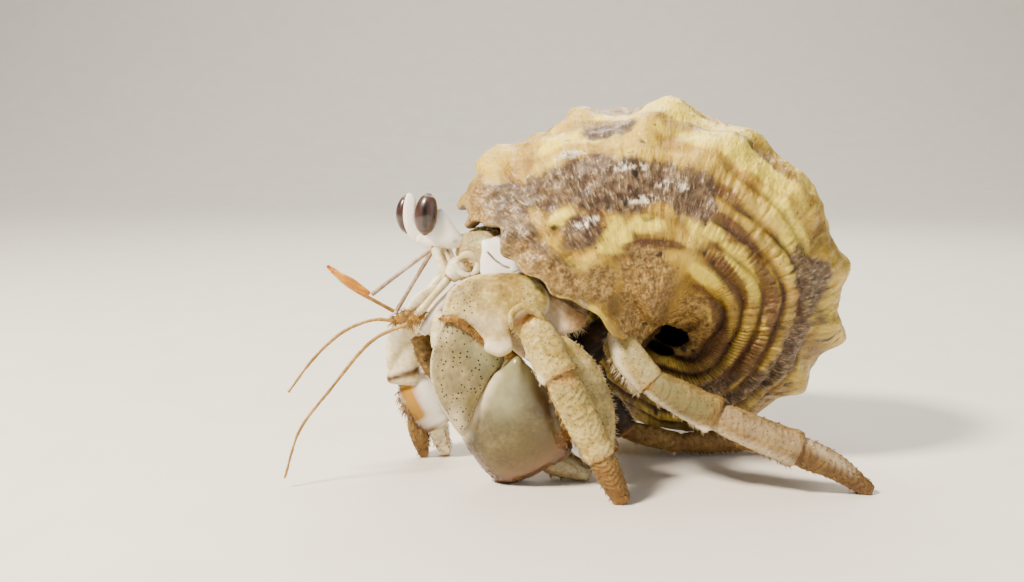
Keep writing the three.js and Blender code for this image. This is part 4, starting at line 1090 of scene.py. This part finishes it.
# the far rear leg sits in shadow under the shell: its merus is painted near black and its carpus and
# propodus tan, as painted shade
walkingLeg("leg3_right", [(2.4, 2.6, 11.6), (3.4, 3.6, 8.4), (6.8, 3.2, 3.6), (13.2, 3.2, 2),
                          (22, 4.4, 1.9), (29.4, 6, 0.45)], {
    "merus": {"broad": (1.4, 1.7, 1.5), "look": "dark"},
    "carpus": {"broad": (1.2, 1.3, 1.2), "thick": (1.2, 1.3, 1.2), "look": "tan"},
    "propodus": {"broad": (1.1, 1.3, 1.2), "thick": (1.1, 1.2, 1.1), "look": "tan"},
    "dactylus": {"broad": (1.2, 1, 0.6), "thick": (1, 0.9, 0.6)}})
print("legs made")

leafShape = np.sqrt(1 - np.linspace(-0.97, 0.97, 13) ** 2)  # a tall oval, rounded at both ends
eyeLeaf = {"part": "cornea", "look": "cornea", "slot": "cornea", "neck": 0, "collar": 0, "uneven": 0.0,
           "square": 2.0, "rows": 110, "columns": 80, "dirty": 0}
limb("eye_left", [(-17.5, -4.6, 28.9), (-16.9, -4.6, 33.5)], [
    dict(eyeLeaf, broad=1.35 * leafShape, thick=1.15 * leafShape, bow=(-0.1, -0.2, 0),
         # painted shade: the pseudopupil's black slit, fixed on the side that faces the camera
         marks=[("streak", [(-17.35, 30.0), (-17.3, 32.6)], 0.26, 1.4)])], (1, -0.35, 0))
limb("eye_right", [(-19.9, -0.2, 28.7), (-19.9, -0.2, 33.1)], [
    dict(eyeLeaf, broad=1.3 * leafShape, thick=leafShape, bow=(-0.3, 0, 0))], (0.25, 1, 0))
stalkPlate = {
    "look": "white", "slot": "white_plate", "dotted": 0, "uneven": 0.3, "edgeStain": 0.0, "dirty": 0,
    "columns": 150, "rows": 70}
makePlate("crab_eye_left_stalk", dict(stalkPlate, nodes=["eye_left_stalk"], outline=[
    (-15.6, 31.9), (-14.9, 31.1), (-14.2, 30), (-13.4, 28.9), (-12.9, 28.1), (-13.2, 27.5), (-14.3, 27.2),
    (-15.5, 27.4), (-16.7, 28), (-17.6, 28.9), (-17.2, 29.8), (-16.6, 31)],
    lean=(-4, 0), crown=(-15, 28.9), front=0.9, back=1.2,
    marks=[("groove", [(-13.9, 28.2), (-14.1, 28.1)], 0.2, 0.4)]))
makePlate("crab_eye_right_stalk", dict(stalkPlate, nodes=["eye_right_stalk"], outline=[
    (-19.7, 33.4), (-18.8, 32.9), (-18.7, 31), (-18.5, 29.4), (-17.7, 28.3), (-17.8, 27.5), (-19.2, 27.9),
    (-20.1, 29.7), (-20.2, 31.6)],
    lean=(-1.6, 0), crown=(-19.3, 30.3), front=0.5, back=1.1))
makeSegment("crab_eye_right_foot", {
    "line": [(-15.2, -1.4, 27.3), (-16.8, -1.7, 27.5), (-18.4, -1.8, 28.2)], "broad": (0.8, 0.75, 0.6),
    "thick": (0.8, 0.7, 0.5), "side": (1, 0, 0.6), "look": "white", "slot": "white_plate",
    "nodes": ["eye_right_foot"], "dotted": 0, "stained": 0, "dirty": 0})

bladeSide = (-0.6, 0, 0.8)
rod = {
    "part": "rod", "broad": (0.3, 0.23, 0.26), "thick": (0.3, 0.23, 0.26), "columns": 24, "rows": 90,
    "look": "rod", "slot": "feeler", "neck": 0, "dotted": 0, "uneven": 0.2, "fold": False,
    "stained": 0.3}
blade = {
    "part": "blade", "broad": (0.26, 0.5, 0.2), "thick": (0.22, 0.34, 0.18), "columns": 32, "rows": 160,
    "look": "blade", "slot": "feeler", "neck": 0, "dotted": 0, "rugae": (0.28, 0.06), "stained": 0.9,
    "uneven": 0.5, "fold": False}
column = {"part": "base", "broad": (0.62, 0.55, 0.6), "thick": (0.6, 0.55, 0.6), "look": "ivory",
          "slot": "white_plate", "dotted": 0, "socket": True, "stained": 0.6}
limb("antennule_left", [(-24, -4.6, 22.1), (-28.1, -4.7, 24.7)], [blade], bladeSide)
limb("antennule_left", [(-16.6, -3.6, 27.3), (-23.6, -4.6, 22)], [rod])
limb("antennule_right", [(-21.5, -2, 19.6), (-24.8, -2.7, 21.6), (-28.9, -3.3, 25.1)], [
    dict(rod, part="joint", broad=(0.24, 0.22, 0.24), thick=(0.24, 0.22, 0.24), look="feeler"),
    blade], bladeSide)
limb("antennule_right", [(-17, -2.4, 26.5), (-21.1, -2, 19.7)], [rod])
limb("antennule_left", [(-16.3, -4.1, 27.2), (-14.9, -4.8, 24)], [
    dict(column, marks=[("stain", [(-15.4, 27), (-14.3, 24.4)], 0.25, 0.9)])])
limb("antennule_right", [(-15.2, -3.4, 27.2), (-13.9, -4.3, 24.6)], [
    dict(column, marks=[("brown", [(-14.9, 27), (-13.7, 24.6)], 0.2, 0.8)])])

whip = {
    "broad": (0.19, 0.16, 0.11), "thick": (0.19, 0.16, 0.11), "side": (0, 0, 1), "rows": 420,
    "columns": 12, "collar": 0, "neck": 0, "look": "feeler", "slot": "feeler", "dotted": 0,
    "uneven": 0.0, "rugae": (0.42, 0.07), "dirty": 0.2}
makeSegment("crab_antenna_left_whip", dict(whip, nodes=["antenna_left_whip"], line=[
    (-18.8, -7, 19.2), (-23.6, -6.7, 16.8), (-28.3, -7, 11.3), (-31.8, -7.5, 6.7), (-33.6, -8, 1.2)]))
makeSegment("crab_antenna_right_whip", dict(whip, nodes=["antenna_right_whip"], line=[
    (-20.8, -4.4, 18.8), (-23.6, -4.7, 19), (-27.1, -5, 17.6), (-30.4, -5.6, 14.6), (-33.3, -6, 10.8)]))

peduncle = {"part": "base", "look": "ivory", "slot": "white_plate", "dotted": 0, "uneven": 0.5, "rows": 90,
            "columns": 48, "stained": 0.9}
limb("antenna_left", [(-12.8, -5.9, 25.9), (-14.6, -6.2, 24.2), (-18.2, -7, 20)], [
    dict(peduncle, part="joint", broad=(1.2, 1.35, 0.8), thick=(0.9, 1, 0.7), side=(0.6, 0, 1),
         socket=True),
    dict(peduncle, broad=(0.55, 0.4, 0.5), thick=(0.55, 0.4, 0.5))])
limb("antenna_right", [(-15.4, -3.4, 24.2), (-19.9, -4.6, 19.4)], [
    dict(peduncle, broad=(0.65, 0.5, 0.55), thick=(0.6, 0.45, 0.5))])
makeSegment("crab_antenna_right_scale", dict(
    peduncle, line=[(-15.9, -3.9, 22.9), (-17.6, -4.3, 21.5), (-19.6, -4.6, 19.9)], side=facePlate,
    broad=(0.5, 1.0, 0.5), thick=(0.3, 0.35, 0.3),
    marks=[("stain", [(-16.4, 22), (-19.2, 19.6)], 0.3, 0.9)]))
knuckles = {  # knobs round the gland's opening, each by its degrees from, degrees to and half width
    "middle": (-12.5, -6.9, 25.7), "radius": 1.15,
    "arcs": ((20, 150, 0.42), (165, 285, 0.36), (300, 375, 0.4))}
for number, (start, end, size) in enumerate(knuckles["arcs"]):
    x, y, z = knuckles["middle"]
    angles = np.radians(np.linspace(start, end, 7))
    arc = [(x + knuckles["radius"] * math.cos(a), y, z + knuckles["radius"] * math.sin(a)) for a in angles]
    makeSegment(f"crab_antenna_left_knuckle_{number}", dict(
        peduncle, line=arc, side=(0, -1, 0), broad=(0.2, size, 0.2), thick=(0.2, size, 0.2)))
makeSegment("crab_antenna_left_gland", {
    "line": [(-12.6, -6.6, 25.7), (-12.6, -7.1, 25.7)], "broad": (0.24, 0.2), "thick": (0.24, 0.2),
    "side": (0, 0, 1), "look": "fold", "slot": "white_plate", "rows": 20, "columns": 24})

fuzz = {"count": 130, "along": (0, 1), "length": 0.8, "width": 0.028, "stand": 0.9, "lie": 0.2}
ankles = (((-17.6, -6.8, 20.4), (-19.2, -6.9, 19)), ((-19.3, -4.9, 19.9), (-21.2, -4.4, 18.7)))
for number, ends in enumerate(ankles):
    makeSegment(f"crab_antenna_ankle_{number}", dict(
        goldenFold, line=ends, broad=(0.5, 0.62, 0.4), thick=(0.5, 0.6, 0.4), slot="white_plate",
        setae=[fuzz]))

mouthPart = {"look": "ivory", "slot": "white_plate", "dotted": 0, "stained": 0.7, "fold": False}
limb("maxilliped_left", [(-16.3, -7.2, 16.3), (-15.6, -7, 20.3)], [
    dict(mouthPart, part="tip", broad=(0.4, 0.85, 0.5), thick=(0.3, 0.4, 0.3),
         marks=[("brown", [(-15.9, 16.6), (-15.1, 19.6)], 0.2, 0.7)])])
limb("maxilliped_left", [(-17.7, -6.5, 17.9), (-13.4, -5.2, 22.6)], [
    dict(mouthPart, part="arm", look="white", broad=(0.6, 1.1, 0.9), thick=(0.5, 0.7, 0.8), square=3.4)])
# the far maxilliped's tip is tan as painted shade, for mouthparts that sit in shadow
limb("maxilliped_right", [(-16.6, -2.4, 11.8), (-18.3, -2.6, 16.6), (-13.8, -1.4, 21.6)], [
    dict(mouthPart, part="tip", look="tan", broad=(0.9, 1.3, 1.1), thick=(0.7, 0.9, 0.8),
         setae=[{"count": 60, "along": (0.1, 0.95), "length": 0.6}]),
    dict(mouthPart, part="arm", broad=(0.9, 1, 1), thick=(0.7, 0.8, 0.9))])
print("head made")

acrossBody = (0.28, 0.96, 0)
makeSegment("crab_carapace_shield", {
    "line": [(-13, -3, 26.9), (-8.6, -1.9, 26.4), (-4, -0.6, 24.8)],
    "broad": (2.8, 4.5, 4.4), "thick": (2.4, 3.3, 2.3), "side": acrossBody, "rows": 150, "columns": 150,
    "look": "cream", "slot": "white_plate", "nodes": ["carapace_shield"], "dotted": 0.4,
    "stained": 0.2, "square": 2.6, "grains": (0.48, 0.12),
    "marks": [("grey", [(-12.6, 28), (-10.6, 28.6)], 1.2, 0.6), ("pale", [(-12, 25), (-4, 24)], 1.6, 0.8),
              ("brown", [(-10, 29), (-8, 28.8)], 0.6, 0.7),
              ("brown", [(-13.3, 27.6), (-12.6, 26.4)], 0.4, 0.6)],
    "setae": [{"count": 50, "along": (0.02, 0.4), "turn": (60, 150), "length": 0.8, "look": "paleSeta",
               "width": 0.02, "hairs": 2}]})
shieldGroove = [(-10.2, 27.1), (-9.4, 26.3), (-8.4, 25.6), (-7.8, 25.4)]
rearGroove = [(-7.6, 24.8), (-6.2, 25.3)]
makePlate("crab_carapace_shield_plate", dict(stalkPlate, outline=[
    (-10.9, 28.3), (-9.8, 28.6), (-8.3, 29.2), (-7.6, 28.9), (-6.8, 27.1), (-5.8, 25.4), (-6.7, 24.6),
    (-8.8, 24.2), (-10.7, 24.3), (-11.1, 25.6), (-10.9, 27.2)],
    lean=(-15.9, 0.35), crown=(-8.7, 26.4), front=0.55, back=1.4, columns=220, rows=110,
    ridges=[(shieldGroove, 0.13, -0.16), (rearGroove, 0.1, -0.1)],
    marks=[("groove", shieldGroove, 0.11, 1.0), ("groove", rearGroove, 0.09, 0.5)]))
makeSegment("crab_carapace_rear", {
    "line": [(-5.6, -2.2, 21.8), (-2.4, -1.8, 21.2), (0.6, -0.8, 20.4)],
    "broad": (5, 5, 3.2), "thick": (2.4, 2.4, 1.4), "side": acrossBody, "rows": 100, "columns": 90,
    "look": "soft", "slot": "soft_body", "nodes": ["carapace_rear"], "dotted": 0, "rugae": (0.9, 0.05),
    # painted shade: the 'brown' mark takes the soft skin near black towards the rear legs
    "marks": [("brown", [(-2, 17), (3, 19)], 2.4, 1.0)]})
makePlate("crab_carapace_rear_plate", {
    "outline": [(-5.9, 22.9), (-3.8, 22.4), (-2.2, 21.8), (-0.6, 20.9), (0.9, 19.9), (0.4, 18.7),
                (-1.9, 17.9), (-3.7, 17.6), (-5, 19.4)],
    "lean": (-11.5, 0.2), "crown": (-3, 20), "front": 0.4, "back": 1.6, "columns": 180, "rows": 80,
    "look": "soft", "slot": "soft_body", "dotted": 0, "edgeStain": 0.2, "uneven": 0.4,
    "marks": [("pale", [(-4, 20.6), (-2.4, 18.8)], 1.0, 0.6),
              ("stain", [(-0.8, 20.4), (0.8, 19.4)], 0.9, 0.7)],
    "setae": [{"count": 110, "along": (0.9, 1.0), "turn": (120, 220), "length": 0.8, "look": "paleSeta",
               "hairs": 2, "width": 0.02, "stand": 0.3, "lie": 0.0, "spread": 0.5}]})


def loftRings(spec):  # plain oval rings along a line, for the skin's inner form
    line, _ = smoothLine(spec["line"], spec["rows"])
    tangent = unit(np.gradient(line, axis=0))
    side = np.array(acrossBody)
    across = unit(side - tangent * (tangent @ side)[:, None])
    up = np.cross(tangent, across)
    t = np.linspace(0, 1, spec["rows"])
    ends = np.minimum(1, 0.35 + 5 * np.minimum(t, 1 - t)) - spec["inset"]
    angle = np.linspace(0, 2 * math.pi, spec["columns"], endpoint=False)
    broad, thick = blend(spec["broad"], t) * ends, blend(spec["thick"], t) * ends
    return (line[:, None] + across[:, None] * (broad[:, None] * np.cos(angle))[..., None]
            + up[:, None] * (thick[:, None] * np.sin(angle))[..., None])


bodySkin = {
    "thorax": {
        "line": [(-13.4, -3.4, 23.4), (-8, -2, 19.8), (-1.6, -0.2, 15.6), (3.4, 1.4, 13.6)],
        "broad": (3.2, 4.4, 4.8, 3.8), "thick": (1.9, 3.4, 4, 3), "inset": 0.04, "rows": 60, "columns": 50},
    "bellyRings": 50,
    "bellyFrom": 7,  # degrees of the shell's turn past the inner end of its mouth
    "bellyTo": 6,  # degrees short of the lip
    "clearance": 1.9,  # between the belly and the shell's wall
    "voxel": 0.35,
    "relaxing": 8,
    "wrinkleSize": 1.6,
    "wrinkleHeight": 0.12,
}


def bellyRings():  # the belly fills the shell's mouth, and tapers to both ends
    start = shell["lip"] - shell["mouthDepth"] + bodySkin["bellyFrom"]
    end = shell["lip"] - bodySkin["bellyTo"]
    count = bodySkin["bellyRings"]
    around, over = np.meshgrid(
        np.linspace(start, end, count), np.linspace(180, -180, count, endpoint=False), indexing="ij")
    narrow = 0.72 + 0.28 * np.clip((around - start + 7) / 30, 0, 1)
    ends = np.minimum(0.62 + 0.38 * (around - start) / 12, 0.5 + 0.5 * (end - around) / 16)
    inset = np.full_like(around, shell["wall"] + bodySkin["clearance"])
    return shellPoints(around, over, narrow * np.minimum(1, ends), inset)


def fuseSkin(piece):  # one closed skin round the overlapping forms
    remesh = piece.modifiers.new("skin", "REMESH")
    remesh.mode = "VOXEL"
    remesh.voxel_size = bodySkin["voxel"] * mm
    relax = piece.modifiers.new("relax", "SMOOTH")
    relax.iterations = bodySkin["relaxing"]
    shaped = piece.evaluated_get(bpy.context.evaluated_depsgraph_get())
    mesh = bpy.data.meshes.new_from_object(shaped)
    piece.modifiers.clear()
    piece.data = mesh
    return mesh


def makeBody():  # one skin over the thorax and the belly
    points, faces = [], []
    for grid in (bellyRings(), loftRings(bodySkin["thorax"])):
        first = sum(len(part) for part in points)
        faces += [[first + i for i in face] for face in gridFaces(*grid.shape[:2])]
        points.append(grid.reshape(-1, 3))
    piece = makeMesh("crab_body_skin", np.vstack(points), faces)
    mesh = fuseSkin(piece)
    normals = np.empty(len(mesh.vertices) * 3)
    places = np.empty(len(mesh.vertices) * 3)
    mesh.vertices.foreach_get("co", places)
    mesh.vertices.foreach_get("normal", normals)
    places, normals = places.reshape(-1, 3) / mm, normals.reshape(-1, 3)
    wrinkles = noiseAt(places * (0.5, 1, 1), bodySkin["wrinkleSize"], 61, 3)
    places = places + normals * (bodySkin["wrinkleHeight"] * wrinkles)[:, None]
    mesh.vertices.foreach_set("co", (places * mm).ravel())
    mesh.polygons.foreach_set("use_smooth", np.ones(len(mesh.polygons), bool))
    # painted shade: the 'brown' mark darkens the skin to near black beside the rear legs, deep in the
    # shell's mouth
    dark = between(places[:, 0] + 0.4 * places[:, 1], -11, -5)  # darkest beside the rear legs
    mesh.attributes.new("brown", "FLOAT", "POINT").data.foreach_set("value", dark.astype(np.float32))
    mesh.update()
    settle(piece, looks["soft"], "soft_body", "thorax", "belly")


makeBody()
print("trunk made")


paper = {"halfWidth": 1600, "near": -900, "bendFrom": 500, "bendRadius": 400, "top": 1500}


def makeFloor():  # pale paper that runs level under the crab and sweeps up far behind it
    start, radius = paper["bendFrom"], paper["bendRadius"]
    profile = [(paper["near"], 0), (start, 0)]
    for angle in np.linspace(0.1, math.pi / 2, 12):
        profile.append((start + radius * math.sin(angle), radius - radius * math.cos(angle)))
    profile.append((start + radius, paper["top"]))
    points = [(x, y, z) for y, z in profile for x in (-paper["halfWidth"], paper["halfWidth"])]
    faces = [(i, i + 1, i + 3, i + 2) for i in range(0, 2 * len(profile) - 2, 2)]
    floor = makeMesh("floor", points, faces)
    # uncoated paper, rolled smooth: a matt warm white with faint clouds
    material, tree, shader = newMaterial("mattePalePaper", {"Roughness": 0.85})
    place = addNode(tree, "TexCoord", output="Object")
    fibre = addNode(tree, "TexNoise", inputs={"Vector": place, "Scale": perMm(12), "Detail": 3.0})
    colour = addNode(tree, "ValToRGB", {"stops": [(0.3, "#dcd6ca"), (0.7, "#e0dbd0")]}, {0: fibre})
    tree.links.new(colour, shader.inputs["Base Color"])
    floor.data.materials.append(material)


lights = [
    {"name": "keyLight", "place": (-210, -130, 290), "size": 55, "power": 4.4, "colour": "#fff0dc"},
    {"name": "fillLight", "place": (240, -180, 140), "size": 260, "power": 0.3, "colour": "#eef2ff"},
    {"name": "backLight", "place": (60, 260, 240), "size": 220, "power": 0.7, "colour": "#fff6ea"},
    {"name": "sweepLight", "place": (0, 500, 900), "size": 900, "power": 12, "colour": "#fffaf2"},
]
lightsAim = (5, 0, 18)
studio = {"colour": "#e8ebee", "strength": 0.22}


def makeLights():
    for light in lights:
        data = bpy.data.lights.new(light["name"], "AREA")
        data.size = light["size"] * mm
        data.energy = light["power"]
        data.color = hexColour(light["colour"])[:3]
        piece = bpy.data.objects.new(light["name"], data)
        piece.location = toMetres(light["place"])
        toCrab = mathutils.Vector(toMetres(lightsAim)) - piece.location
        piece.rotation_euler = toCrab.to_track_quat("-Z", "Y").to_euler()
        bpy.context.scene.collection.objects.link(piece)
    world = bpy.data.worlds.new("studio")
    world.use_nodes = True
    background = world.node_tree.nodes["Background"]
    background.inputs["Color"].default_value = hexColour(studio["colour"])
    background.inputs["Strength"].default_value = studio["strength"]
    bpy.context.scene.world = world


makeFloor()
makeLights()
print("floor and lights made")
